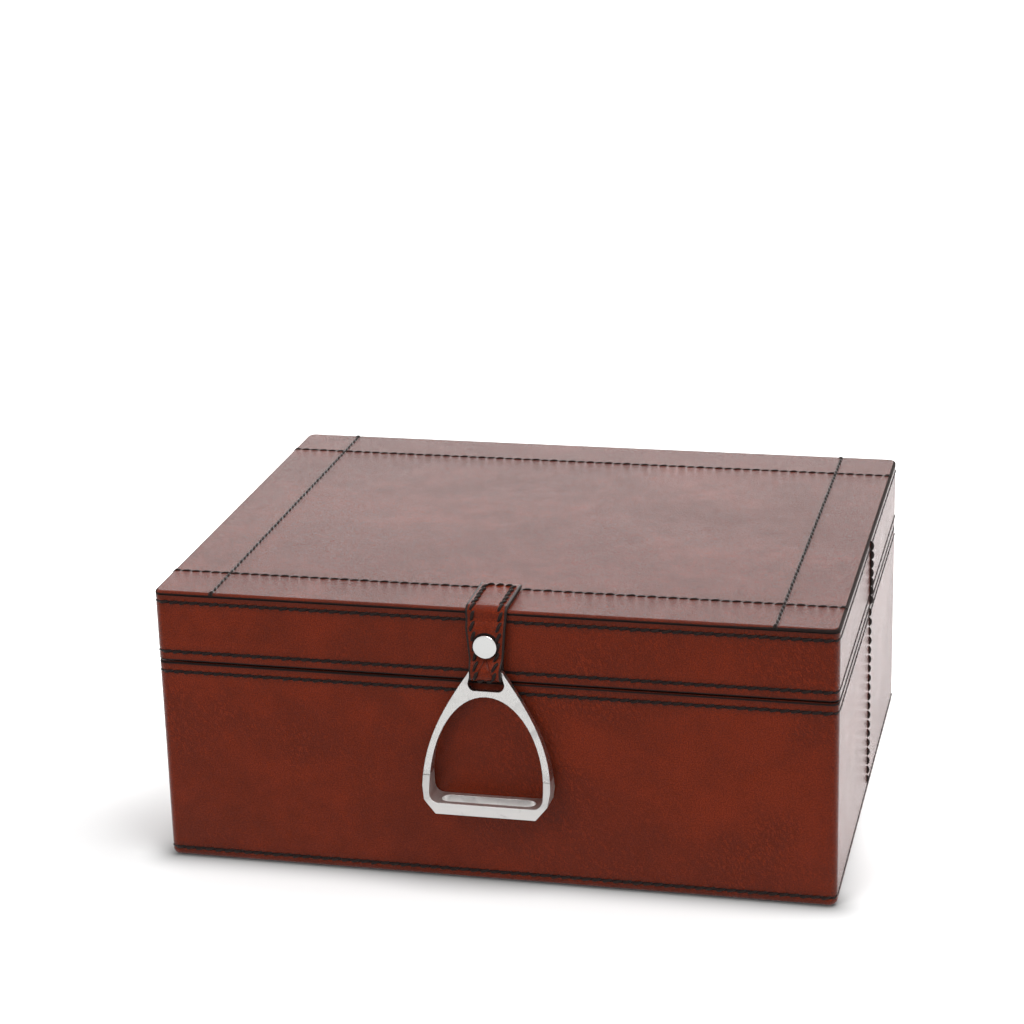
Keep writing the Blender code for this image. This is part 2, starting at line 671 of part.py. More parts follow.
def build_stud(pivot, strap, lid_parts):
    """The capped stud through the strap and the lid's front, and the burr that it is set on."""
    boards, front, back, rim = lid_parts
    head_foot = STUD_LINE + STRAP / 2 + SEAT_GAP
    burr_y = -INNER_Y - BURR_POCKET + SEAT_GAP
    stud_end = burr_y + BURR_HEIGHT + SEAT_GAP
    length = stud_end - (FACE_Y - head_foot)
    head = STUD_HEAD_HEIGHT
    rim_edge = arc((STUD_HEAD_RADIUS - STUD_EDGE, head - STUD_EDGE), STUD_EDGE, math.pi / 2, 0, FILLET_STEPS)
    profile = [(0, head), *rim_edge, (STUD_HEAD_RADIUS, 0), (STUD_RADIUS, 0),
               (STUD_RADIUS, -length), (0, -length)]
    facing = Matrix.Rotation(math.pi / 2, 4, "X")
    place = Matrix.Translation((0, FACE_Y - head_foot, STUD_Z)) @ facing
    stud = turned(profile, STUD_STEPS)
    stud.transform(place)
    add_piece("pull_stud", stud, "steel", pivot)
    clearance = STUD_RADIUS + SEAT_GAP
    hole_profile = [(0, -SEAT_GAP / 2), (clearance, -SEAT_GAP / 2), (clearance, -length - CUT_OVERRUN),
                    (0, -length - CUT_OVERRUN)]
    hole = turned(hole_profile, BARREL_STEPS)
    hole.transform(place)
    cutter = add_cutter("stud_hole", hole)
    for piece in (strap, front, boards["front"]):
        combine(piece, cutter, "DIFFERENCE")
    pocket_radius = BURR_RADIUS + SEAT_GAP
    pocket = turned([(0, 0), (pocket_radius, 0), (pocket_radius, -BURR_POCKET - CUT_OVERRUN),
                     (0, -BURR_POCKET - CUT_OVERRUN)], STUD_STEPS)
    pocket.transform(Matrix.Translation((0, -INNER_Y - BURR_POCKET, STUD_Z)) @ facing)
    combine(boards["front"], add_cutter("burr_pocket", pocket), "DIFFERENCE")
    rings = [arc((0, 0), radius, 0, 2 * math.pi, BARREL_STEPS)[:-1] for radius in (BURR_RADIUS, clearance)]
    burr = plate(rings, BURR_HEIGHT, Matrix.Translation((0, burr_y + BURR_HEIGHT / 2, STUD_Z)) @ UPRIGHT_X)
    add_piece("stud_burr", burr, "steel", pivot)


def stirrup_outline():
    """Outer outline of the stirrup in its own plane, as (half width, height over the bar)."""
    flare = math.hypot(SHOULDER_FLARE_SHARE, 1)
    pull = SHOULDER_PULL / flare
    top = (BAR_HALF_WIDTH, BAR_HEIGHT / 2)
    shoulder = (SHOULDER_HALF_WIDTH, -SHOULDER_DROP)
    round_foot = (SHOULDER_HALF_WIDTH - SHOULDER_DROP * SHOULDER_FLARE_SHARE, 0)
    round_top = sweep_curve(top, (SHOULDER_HALF_WIDTH - SHOULDER_DROP, top[1]), round_foot, shoulder,
                            FILLET_STEPS)
    side = sweep_curve(shoulder, (shoulder[0] + pull * SHOULDER_FLARE_SHARE, shoulder[1] - pull),
                       (HIP_HALF_WIDTH, -HIP_DROP + HIP_PULL), (HIP_HALF_WIDTH, -HIP_DROP), SIDE_STEPS)
    half = round_top[:-1] + side + [(HEEL_HALF_WIDTH, -HEEL_DROP), (SOLE_HALF_WIDTH, -SOLE_DROP)]
    return half + [(-x, z) for x, z in reversed(half)]


def arch_outline():
    """Outline of the foot opening: a round arch over the tread."""
    tread_top = -SOLE_DROP + TREAD_HEIGHT
    foot = (ARCH_HALF_WIDTH, -ARCH_FOOT_DROP)
    arch = sweep_curve((0, -CROWN_DROP), (CROWN_PULL, -CROWN_DROP),
                       (ARCH_HALF_WIDTH, -ARCH_FOOT_DROP + ARCH_PULL), foot, ARCH_STEPS)
    corner = arc((ARCH_HALF_WIDTH - TREAD_FILLET, tread_top + TREAD_FILLET), TREAD_FILLET,
                 0, -math.pi / 2, FILLET_STEPS)
    half = arch + corner
    return half + [(-x, z) for x, z in reversed(half[1:])]


def eye_outline():
    """Outline of the eye that the strap goes through."""
    top = -BAR_HEIGHT / 2
    floor_curve = sweep_curve((EYE_HALF_WIDTH, -EYE_WIDEST_DROP),
                              (EYE_HALF_WIDTH, -(EYE_WIDEST_DROP + EYE_FLOOR_DROP) / 2),
                              ((EYE_HALF_WIDTH + EYE_FLOOR_HALF_WIDTH) / 2, -EYE_FLOOR_DROP),
                              (EYE_FLOOR_HALF_WIDTH, -EYE_FLOOR_DROP), FILLET_STEPS)
    half = [(EYE_TOP_HALF_WIDTH, top)] + floor_curve
    return half + [(-x, z) for x, z in reversed(half)]


def side_outline():
    """Side view of the stirrup: thin at the bar, as deep as the tread at the sole."""
    drops = [-BAR_HEIGHT / 2] + [share * SOLE_DROP for share in ARM_DROP_SHARES] + [SOLE_DROP]
    depths = [BAR_DEPTH] + [share * TREAD_DEPTH for share in ARM_DEPTH_SHARES] + [TREAD_DEPTH]
    front = [(-depth / 2, -drop) for drop, depth in zip(drops, depths)]
    front[0] = (front[0][0], BAR_HEIGHT / 2 + CUT_OVERRUN)
    front[-1] = (front[-1][0], -SOLE_DROP - CUT_OVERRUN)
    return front + [(-y, z) for y, z in reversed(front)]


def stirrup_lean():
    """Angle from plumb at which the tread's back edge rests on the front of the box."""
    reach = -BAR_Y + FACE_Y - SEAT_GAP
    drop = SOLE_DROP - TREAD_HEIGHT
    return math.acos(reach / math.hypot(TREAD_DEPTH / 2, drop)) - math.atan2(drop, TREAD_DEPTH / 2)


def build_stirrup(hanger):
    """The stirrup: a bow with the eye and the arms, and the tread that is joined to it."""
    side_view = plate([side_outline()], 2 * HIP_HALF_WIDTH + CUT_OVERRUN, UPRIGHT_Y)
    envelope = add_cutter("stirrup_side", side_view, hanger)
    half_slot, slot_radius = SOLE_HALF_WIDTH - SLOT_END, TREAD_DEPTH / 2 - SLOT_RAIL
    slot_outline = rounded_rectangle(half_slot, slot_radius, slot_radius - WELD_SPAN, FILLET_STEPS)
    slot_place = Matrix.Translation((0, 0, -SOLE_DROP + TREAD_HEIGHT / 2))
    slot = add_cutter("tread_slot", plate([slot_outline], TREAD_HEIGHT + CUT_OVERRUN, slot_place), hanger)
    reach, deep = HIP_HALF_WIDTH + CUT_OVERRUN, TREAD_DEPTH
    bow_foot, tread_top = -JOINT_DROP + SEAT_GAP / 2, -JOINT_DROP - SEAT_GAP / 2
    cuts = {
        "stirrup_bow": ((-reach, -deep, bow_foot), (reach, deep, BAR_HEIGHT + CUT_OVERRUN)),
        "stirrup_tread": ((-reach, -deep, -SOLE_DROP - CUT_OVERRUN), (reach, deep, tread_top)),
    }
    outlines = [stirrup_outline(), arch_outline(), eye_outline()]
    for name, (low, high) in cuts.items():
        piece = add_piece(name, plate(outlines, TREAD_DEPTH + CUT_OVERRUN, UPRIGHT_X), "steel", hanger)
        combine(piece, envelope, "INTERSECT")
        combine(piece, slot, "DIFFERENCE")
        rounding = piece.modifiers.new("edges", "BEVEL")
        rounding.width = STIRRUP_EDGE
        rounding.segments = EDGE_STEPS
        rounding.limit_method = "ANGLE"
        rounding.angle_limit = SHARP_ANGLE
        keep = add_cutter(name + "_share", mesh_from(name + "_share", block(low, high)), hanger)
        combine(piece, keep, "INTERSECT")


def add_pivot(name, place, lean, parent=None):
    """An empty on a joint's axis, which its moving pieces hang from."""
    pivot = bpy.data.objects.new(name, None)
    PIECES.objects.link(pivot)
    pivot.location = place
    pivot.rotation_euler = (lean, 0, 0)
    if parent is not None:
        pivot.parent = parent
    return pivot


def build():
    """Build every piece."""
    lid_pivot = add_pivot("lid_pivot", (0, HINGE_Y, HINGE_Z), 0)
    hang_place = Vector((0, BAR_Y, BAR_Z)) - lid_pivot.location
    hanger = add_pivot("stirrup_pivot", hang_place, -stirrup_lean(), lid_pivot)
    base_parts = build_base()
    lid_parts = build_lid(lid_pivot)
    build_hinges(lid_pivot, base_parts, lid_parts)
    strap = build_strap(lid_pivot)
    build_stud(lid_pivot, strap, lid_parts)
    for piece in PIECES.objects:
        if piece.parent is lid_pivot and piece.type == "MESH":
            piece.location = -lid_pivot.location
    build_stirrup(hanger)
    bpy.context.view_layer.update()


clear_scene()
PIECES = new_collection("leather_box")
CUTTERS = new_collection("cutters")
build()
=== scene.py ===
"""Leather box: hides, stitching, strap, linings, metals and finishes over the packed model.

Metres, +Z up. The box stands on Z = 0, its front faces -Y, and it hinges at +Y.
"""
import contextlib
import json
import math

import bmesh
import bpy
from bpy.props import FloatProperty, FloatVectorProperty, IntProperty, PointerProperty
from mathutils import Matrix, Vector

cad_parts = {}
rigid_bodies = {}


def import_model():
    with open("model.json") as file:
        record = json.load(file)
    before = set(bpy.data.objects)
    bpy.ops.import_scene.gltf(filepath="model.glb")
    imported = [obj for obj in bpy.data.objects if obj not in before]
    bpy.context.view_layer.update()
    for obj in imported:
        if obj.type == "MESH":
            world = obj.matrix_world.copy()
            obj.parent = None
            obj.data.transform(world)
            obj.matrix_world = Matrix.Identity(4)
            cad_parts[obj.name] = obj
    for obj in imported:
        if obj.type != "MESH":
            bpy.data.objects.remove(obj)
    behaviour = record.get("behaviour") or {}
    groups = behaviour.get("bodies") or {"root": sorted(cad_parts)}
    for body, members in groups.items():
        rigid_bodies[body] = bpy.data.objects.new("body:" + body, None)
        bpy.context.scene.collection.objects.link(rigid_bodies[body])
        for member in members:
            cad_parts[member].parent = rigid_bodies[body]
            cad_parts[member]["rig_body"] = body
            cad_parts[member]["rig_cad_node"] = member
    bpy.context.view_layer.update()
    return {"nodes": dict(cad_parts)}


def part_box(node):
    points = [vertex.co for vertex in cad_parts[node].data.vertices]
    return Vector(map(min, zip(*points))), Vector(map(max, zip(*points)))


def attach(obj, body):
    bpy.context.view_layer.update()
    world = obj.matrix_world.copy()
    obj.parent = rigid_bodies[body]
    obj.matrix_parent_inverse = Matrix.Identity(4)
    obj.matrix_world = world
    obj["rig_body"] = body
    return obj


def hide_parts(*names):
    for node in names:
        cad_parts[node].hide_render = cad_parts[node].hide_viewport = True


bl_info = {
    "name": "Leather Box",
    "version": (1, 0, 0),
    "blender": (4, 5, 0),
    "location": "View3D > Sidebar > Leather Box",
    "description": "Hides, stitching, strap, linings and finishes of a hinged leather box",
    "category": "Add Mesh",
}

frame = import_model()

# Levels and half sizes that come with the packed model
SHEET_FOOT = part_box("lid_top_leather")[0].z
HALF_X, HALF_Y, TOP_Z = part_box("lid_top_leather")[1]
BASE_FOOT, BASE_TOP = (corner.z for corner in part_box("base_front_leather"))
LID_FOOT, LID_TOP = (corner.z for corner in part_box("lid_front_leather"))
RIM_X, RIM_Y, BASE_RIM_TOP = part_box("base_rim_leather")[1]
LID_RIM_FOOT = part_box("lid_rim_leather")[0].z
LINING_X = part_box("base_wall_lining")[1].x
STRAP_LOW, STRAP_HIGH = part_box("pull_strap")
STUD_Z = sum(corner.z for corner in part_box("stud_burr")) / 2
SEAM_Z = (BASE_RIM_TOP + LID_RIM_FOOT) / 2
SEAT_GAP = LID_RIM_FOOT - BASE_RIM_TOP
CLOSE = 1e-6

# How far a notch stays short of the hinge leaf's tip, and how near the outside a rim's outward faces are
NOTCH_SHORT, OUTSIDE = 0.0007, 0.985
# Half widths of the strap at the loop and on the lid, and what it gains up to the stud and above it
LOOP_HALF, LID_HALF, STUD_GAIN, LID_GAIN = 0.0083, 0.0109, 0.0017, 0.0009
# From the strap's end on the lid to its sewing, and the soft edge of strap and stirrup
END_SEWN, SOFT_EDGE = 0.003, 0.0004
# Angle from which edges are softened, and the one up to which sewing is shaded smooth, in degrees
SHARP, SMOOTH_SEWING = 50, 60
# Least Z of the normal of a level face
LEVEL = 0.999
# How far the painted shade reaches beside a sewn row, in its groove, and beside a cut edge, where the hides
# meet
ROW_SHADE, EDGE_SHADE = 0.0045, 0.0034
# Radii between which the painted shade round the stud fades
STUD_SHADE_RADII = (0.0067, 0.0075)
# The camera's place, its yaw, pitch and roll in degrees, and its lens in millimetres
CAMERA_PLACE, CAMERA_TURNS, CAMERA_LENS = (0.32653, -1.42278, 0.65643), (13.66, 18.8238, -1.624), 97.7


def length(label, note, metres):
    return FloatProperty(name=label, description=note, default=metres, unit="LENGTH")


def paint(label, note, *shade):
    return FloatVectorProperty(name=label, description=note, default=shade, size=3, subtype="COLOR")


class BoxSizes(bpy.types.PropertyGroup):
    """Sizes of the leather work."""

    hide: length("Hide", "Thickness of the hides on the walls", 0.0016)
    corner_radius: length("Corner radius", "Round of the upright corners", 0.0045)
    foot_radius: length("Foot radius", "Round where the hide turns in under the box", 0.003)
    turn_in: length("Turn-in", "How far the hide is turned in under the box", 0.014)
    sheet_edge: length("Sheet edge", "Round of the lid sheet's upper edge", 0.0017)
    cut_edge: length("Cut edge", "Round of a hide's cut edges", 0.0003)
    strap: length("Strap", "Thickness of the strap", 0.002)
    rim_corner: length("Rim corner", "Round of the rim strips' outer corners", 0.0026)
    rim_lip: length("Rim lip", "How far the base rim shows over its hide", 0.0016)
    lining: length("Lining", "Thickness of the lining", 0.001)


class StitchSizes(bpy.types.PropertyGroup):
    """Sizes and places of the stitching."""

    pitch: length("Pitch", "Distance from stitch to stitch", 0.00545)
    thread: length("Thread", "Width of a stitch at its middle", 0.0018)
    slant: length("Slant", "How far a stitch drifts to the side along its length", 0.0012)
    lid_upper: length("Upper lid row", "Height of the row under the lid sheet", 0.147)
    lid_lower: length("Lower lid row", "Height of the row over the seam", 0.1192)
    base_upper: length("Upper base row", "Height of the row under the seam", 0.1079)
    base_lower: length("Lower base row", "Height of the row at the foot", 0.0056)
    sheet_inset: length("Sheet inset", "From the lid's edges to the rows on its top", 0.032)
    strap_inset: length("Strap inset", "From the strap's edges to its rows", 0.0035)
    groove: length("Groove", "Depth of the groove that a row lies in", 0.0003)
    groove_width: length("Groove width", "Half width of that groove", 0.0017)
    strands: IntProperty(name="Sides", description="Sides of a stitch's section", default=8, min=6, max=16)


class BoxColours(bpy.types.PropertyGroup):
    """Colours of the finishes."""

    leather: paint("Leather", "Main colour of the hides", 0.125, 0.0132, 0.0022)
    leather_deep: paint("Deep leather", "Darker patches of the hides", 0.083, 0.0092, 0.0017)
    # The edge dye is also the colour of the painted shade beside rows and cut edges and in the seam
    edge_dye_and_shade: paint("Edge dye", "Dye on the cut edges", 0.010, 0.006, 0.005)
    thread: paint("Thread", "Waxed thread", 0.0062, 0.0036, 0.0030)
    lining: paint("Lining", "Suede lining", 0.050, 0.024, 0.016)
    felt: paint("Felt", "Felt pad under the box", 0.022, 0.019, 0.018)
    metal: paint("Metal", "Polished metal of the stirrup and stud", 0.90, 0.88, 0.86)
    brass: paint("Brass", "Brass of the hinges", 0.56, 0.42, 0.21)
    board: paint("Board", "Wood of the boards", 0.42, 0.27, 0.15)


def sizes():
    return bpy.context.scene.leather_box_sizes


def stitches():
    return bpy.context.scene.leather_box_stitches


def colours():
    return bpy.context.scene.leather_box_colours


# Modelling helpers

def drop_selection():
    """Leave edit mode with nothing selected."""
    if bpy.context.mode != "OBJECT":
        bpy.ops.object.mode_set(mode="OBJECT")
    bpy.ops.object.select_all(action="DESELECT")


def take(piece):
    """Select one piece and make it active."""
    drop_selection()
    piece.select_set(True)
    bpy.context.view_layer.objects.active = piece


def settle(name):
    """Name the active object and put its place into its mesh."""
    piece = bpy.context.object
    piece.name = piece.data.name = name
    bpy.ops.object.transform_apply(location=True, rotation=True, scale=True)
    return piece


def add_block(name, low, high):
    """A box between two corners."""
    drop_selection()
    low, high = Vector(low), Vector(high)
    bpy.ops.mesh.primitive_cube_add(size=1, location=(low + high) / 2)
    bpy.context.object.scale = high - low
    return settle(name)


@contextlib.contextmanager
def editing(piece):
    """Edit mode on one piece."""
    take(piece)
    bpy.ops.object.mode_set(mode="EDIT")
    yield
    bpy.ops.object.mode_set(mode="OBJECT")


def pick(piece, kind, test):
    """Select the vertices, edges or faces that pass a test."""
    bpy.ops.mesh.select_mode(type=kind)
    bpy.ops.mesh.select_all(action="DESELECT")
    work = bmesh.from_edit_mesh(piece.data)
    for item in {"VERT": work.verts, "EDGE": work.edges, "FACE": work.faces}[kind]:
        if test(item):
            item.select_set(True)
    work.select_flush_mode()
    bmesh.update_edit_mesh(piece.data)


def select_all():
    bpy.ops.mesh.select_all(action="SELECT")


def face_outward():
    """Turn every face of the edited piece outwards."""
    select_all()
    bpy.ops.mesh.normals_make_consistent(inside=False)


def round_off(offset, segments):
    """Round the selected edges."""
    bpy.ops.mesh.bevel(offset=offset, segments=segments, affect="EDGES")


def extrude(way):
    bpy.ops.mesh.extrude_region_move(TRANSFORM_OT_translate={"value": way})


def resize(scale, centre=(0, 0, 0)):
    bpy.ops.transform.resize(value=scale, center_override=centre)


def round_corners(piece, offset, segments=8):
    """Round the upright edges of the edited piece."""
    pick(piece, "EDGE", is_upright)
    round_off(offset, segments)


def round_level(piece, level, offset, segments=5):
    """Round the level edges of the edited piece at a height."""
    pick(piece, "EDGE", lambda e: not is_upright(e) and abs(middle(e).z - level) < CLOSE)
    round_off(offset, segments)


def assign(piece, slot, test):
    """Give the faces that pass a test the finish of that number."""
    with editing(piece):
        pick(piece, "FACE", test)
        piece.active_material_index = slot
        bpy.ops.object.material_slot_assign()


def middle(item):
    """Middle of an edge or face."""
    return item.calc_center_median() if isinstance(item, bmesh.types.BMFace) else \
        (item.verts[0].co + item.verts[1].co) / 2


def is_upright(edge):
    run = edge.verts[1].co - edge.verts[0].co
    return abs(run.z) > 4 * (abs(run.x) + abs(run.y))


def cut_at(axis, level):
    """Add a loop of edges where the edited piece crosses a level."""
    place, normal = Vector((0, 0, 0)), Vector((0, 0, 0))
    place[axis], normal[axis] = level, 1
    select_all()
    bpy.ops.mesh.bisect(plane_co=place, plane_no=normal)


def sink_row(piece, axis, level, share_of_depth=1.0, upper_only=None):
    """Press the groove of a stitched row into the edited piece."""
    width, depth = stitches().groove_width, stitches().groove * share_of_depth
    for share in (-1, -0.5, 0, 0.5, 1):
        cut_at(axis, level + share * width)
    for share, part in ((0, 1.0), (-0.5, 0.55), (0.5, 0.55)):
        spot = level + share * width
        pick(piece, "VERT", lambda v: abs(v.co[axis] - spot) < CLOSE
             and (upper_only is None or v.co.z > upper_only))
        bpy.ops.transform.shrink_fatten(value=-depth * part)


def modify(piece, kind, **settings):
    """Add a modifier and apply it."""
    take(piece)
    change = piece.modifiers.new(kind.lower(), kind)
    for key, value in settings.items():
        setattr(change, key, value)
    bpy.ops.object.modifier_apply(modifier=change.name)


def soften(piece, width, segments=2, angle=SHARP, **settings):
    """Round the sharp edges of a piece."""
    modify(piece, "BEVEL", width=width, segments=segments, limit_method="ANGLE",
           angle_limit=math.radians(angle), **settings)


def carve(piece, block):
    """Cut a block out of a piece."""
    modify(piece, "BOOLEAN", object=block, operation="DIFFERENCE", solver="EXACT")


def show(item):
    bpy.context.scene.collection.objects.link(item)
    return item


def copy_of(piece, name):
    """A copy with its own mesh."""
    twin = piece.copy()
    twin.data = piece.data.copy()
    twin.name = twin.data.name = name
    return show(twin)


def discard(*pieces):
    for piece in pieces:
        bpy.data.objects.remove(piece, do_unlink=True)


def give(piece, *finishes):
    for name in finishes:
        piece.data.materials.append(finish(name))


def complete(piece, body, finishes, nodes=(), angle=38):
    """Smooth a piece, give it its finishes and let it ride on its body."""
    take(piece)
    bpy.ops.object.shade_smooth_by_angle(angle=math.radians(angle))
    modify(piece, "WEIGHTED_NORMAL", keep_sharp=True, weight=50)
    if not piece.data.polygons:
        raise RuntimeError(piece.name + " has no faces")
    piece.data.materials.clear()
    give(piece, *finishes)
    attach(piece, body)
    if nodes:
        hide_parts(*nodes)
    drop_selection()


def merged_copy(node, name):
    """A copy of a packed node with its loose triangles joined."""
    piece = copy_of(frame["nodes"][node], name)
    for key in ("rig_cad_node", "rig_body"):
        if key in piece:
            del piece[key]
    piece.parent = None
    piece.hide_render = piece.hide_viewport = False
    with editing(piece):
        select_all()
        bpy.ops.mesh.remove_doubles(threshold=2e-6)
        bpy.ops.mesh.customdata_custom_splitnormals_clear()
        bpy.ops.mesh.dissolve_limited(angle_limit=math.radians(0.5))
    return piece


# Shader helpers

class Signal:
    """An output of a shader node. Sums with it add the nodes that reckon them to its tree."""

    def __init__(self, socket):
        self.socket, self.tree = socket, socket.id_data

    def reckon(self, operation, *others):
        return wire(self.tree, "ShaderNodeMath", enumerate((self, *others)), operation=operation)[0]

    def remap(self, low, high, to_low=0.0, to_high=1.0, smooth=True):
        """Bring the span from low to high to another, and hold it at its ends."""
        links = zip(("Value", "From Min", "From Max", "To Min", "To Max"), (self, low, high, to_low, to_high))
        return wire(self.tree, "ShaderNodeMapRange", links,
                    interpolation_type="SMOOTHSTEP" if smooth else "LINEAR")[0]

    def __abs__(self):
        return self.reckon("ABSOLUTE")

    def __add__(self, other):
        return self.reckon("ADD", other)

    def __sub__(self, other):
        return self.reckon("SUBTRACT", other)

    def __rsub__(self, other):
        return wire(self.tree, "ShaderNodeMath", [(0, other), (1, self)], operation="SUBTRACT")[0]

    def __mul__(self, other):
        return self.reckon("MULTIPLY", other)

    def __truediv__(self, other):
        return self.reckon("DIVIDE", other)


def feed(node, links):
    """Link or fill a node's sockets, given as (socket, value) pairs."""
    for socket, value in links:
        if isinstance(value, Signal):
            value.tree.links.new(value.socket, node.inputs[socket])
        else:
            node.inputs[socket].default_value = value


def wire(tree, kind, links=(), **settings):
    """Add a node, set it up, feed it, and give back its outputs."""
    node = tree.nodes.new(kind)
    for key, value in settings.items():
        setattr(node, key, value)
    feed(node, links)
    return [Signal(socket) for socket in node.outputs]


def blend(share, first, second, mode="MIX"):
    """Mix two colours, each an output or plain numbers."""
    tree = next(value.tree for value in (share, first, second) if isinstance(value, Signal))
    pair = [value if isinstance(value, Signal) else (*value, 1)[:4] for value in (first, second)]
    return wire(tree, "ShaderNodeMix", [(0, share), (6, pair[0]), (7, pair[1])],
                data_type="RGBA", blend_type=mode)[2]


def noise(place, scale, detail=3.0, roughness=0.55, distortion=0.0):
    return wire(place.tree, "ShaderNodeTexNoise", [
        ("Vector", place), ("Scale", scale), ("Detail", detail), ("Roughness", roughness),
        ("Distortion", distortion)])[0]


def turned(place, turn, scale):
    """A place seen from turned axes, drawn out along each by a scale."""
    return wire(place.tree, "ShaderNodeMapping", [("Vector", place), ("Rotation", turn), ("Scale", scale)],
                vector_type="TEXTURE")[0]


def separated(place):
    return wire(place.tree, "ShaderNodeSeparateXYZ", [(0, place)])


def node_group(name, entries, results):
    """Make a function that reckons results from entries fill a node group, once."""
    def wrap(reckon):
        def group():
            if name in bpy.data.node_groups:
                return bpy.data.node_groups[name]
            tree = bpy.data.node_groups.new(name, "ShaderNodeTree")
            for label, start in entries.items():
                kind = "NodeSocketFloat" if isinstance(start, float) else "NodeSocketVector"
                socket = tree.interface.new_socket(name=label, in_out="INPUT", socket_type=kind)
                socket.default_value = start
            for label in results:
                tree.interface.new_socket(name=label, in_out="OUTPUT", socket_type="NodeSocketFloat")
            sockets = tree.nodes.new("NodeGroupInput").outputs
            values = reckon(*[Signal(sockets[label]) for label in entries])
            feed(tree.nodes.new("NodeGroupOutput"), zip(results, values))
            return tree
        return group
    return wrap


def grouped(group, **values):
    """The results of a node group at a place."""
    return wire(values["Position"].tree, "ShaderNodeGroup", values.items(), node_tree=group())


@node_group("Hide grain", {"Position": (0, 0, 0), "Pebbles": 1400.0, "Wrinkles": 0.5},
            ("Height", "Patches", "Creases", "Specks"))
def hide_grain(place, pebbles, wrinkles):
    """Grain of a smooth hide: fine pebbles, soft wrinkles and slow patches of colour."""
    tree = place.tree
    wander = wire(tree, "ShaderNodeTexNoise", [("Vector", place), ("Scale", 260.0), ("Detail", 2.0)])[1]
    bent = wire(tree, "ShaderNodeMix", [(0, 0.0012), (4, place), (5, wander)], data_type="VECTOR")[1]
    cells = wire(tree, "ShaderNodeTexVoronoi", [("Vector", bent), ("Scale", pebbles)],
                 feature="DISTANCE_TO_EDGE")[0]
    lines = noise(turned(bent, (0.25, -0.55, 0.2), (1.0, 1.0, 5.0)), 620.0, 2.0, 0.5, 0.3)
    ridged = abs(lines - 0.5).remap(0.02, 0.15, 1.0, 0.0)
    creases = ridged * noise(place, 17.0, 2.0).remap(0.42, 0.62) * wrinkles
    height = cells.remap(0.0, 0.22) * 0.55 + noise(place, 3200.0, 2.0) * 0.35 - creases * 0.8
    slow, quick = noise(place, 9.0, 4.0, 0.6, 0.4), noise(place, 75.0, 4.0, 0.65)
    patches = slow * 0.46 + quick * 0.30 + noise(place, 850.0, 3.0, 0.7) * 0.24
    specks = noise(place, 1500.0, 3.0, 0.7).remap(0.34, 0.66)
    return height, patches.remap(0.38, 0.62), creases, specks


@node_group("Uneven line", {"Distance": 1.0, "Reach": 0.001, "Unevenness": 0.3, "Position": (0, 0, 0)},
            ("Mask",))
def uneven_line(distance, reach, unevenness, place):
    """Mask of a line with an uneven border: 1 on it, 0 beyond its reach."""
    bent = (noise(place, 620.0, 3.0) - 0.5) * (unevenness * 4.0) + 1.0
    return [(distance / (reach * bent)).remap(0.75, 1.05, 1.0, 0.0)]


@node_group("Fibre nap", {"Position": (0, 0, 0), "Fineness": 2400.0}, ("Height", "Light"))
def fibre_nap(place, fineness):
    """Short fibres of suede or felt: their height and how light they lie."""
    fine = noise(place, fineness, 4.0, 0.7)
    strokes = noise(turned(place, (0.4, 0.3, 0.8), (1.0, 2.0, 1.0)), 26.0, 3.0, 0.55, 0.5)
    return fine, (fine * 0.62 + strokes * 0.38).remap(0.35, 0.65)


@node_group("Polish marks", {"Position": (0, 0, 0), "Stretch": (1.0, 1.0, 0.12)}, ("Hairlines", "Smears"))
def polish_marks(place, stretch):
    """Marks on polished metal: hairlines, and dull smears where it is handled."""
    along = wire(place.tree, "ShaderNodeMapping", [("Vector", place), ("Scale", stretch)])[0]
    return noise(along, 2600.0, 3.0, 0.6), noise(place, 120.0, 4.0, 0.6, 0.6).remap(0.5, 0.7)


# Finishes

def new_finish(name, **constants):
    """A material, its Principled shader with constant sockets set, and its Object coordinates."""
    material = bpy.data.materials.new(name)
    material.use_nodes = True
    shader = material.node_tree.nodes["Principled BSDF"]
    feed(shader, [(key.replace("_", " "), value) for key, value in constants.items()])
    return material, shader, Signal(material.node_tree.nodes.new("ShaderNodeTexCoord").outputs["Object"])


def dress(shader, colour, rough, height, depth):
    """Feed a shader its colour, its roughness and a relief of that depth."""
    relief = wire(height.tree, "ShaderNodeBump", [("Height", height), ("Distance", depth), ("Strength", 1.0)])
    feed(shader, [("Base Color", colour), ("Roughness", rough), ("Normal", relief[0])])


def shaded(colour, share):
    """Plain numbers of a colour made darker or paler."""
    return tuple(share * part for part in colour)


def strap_marks(axes):
    """Marks on the strap: the dark ring that the stud presses in, and the creases that part under it."""
    high, wide = axes[2] - STUD_Z, abs(axes[0])
    ring = (wide * wide + high * high).reckon("SQRT").remap(*STUD_SHADE_RADII, 1.0, 0.0)
    arm = wide + (high + 0.0066) * 0.5
    crease = abs(arm).remap(0.0, 0.0009, 1.0, 0.0) * high.remap(-0.0062, -0.0072)
    return ring, crease


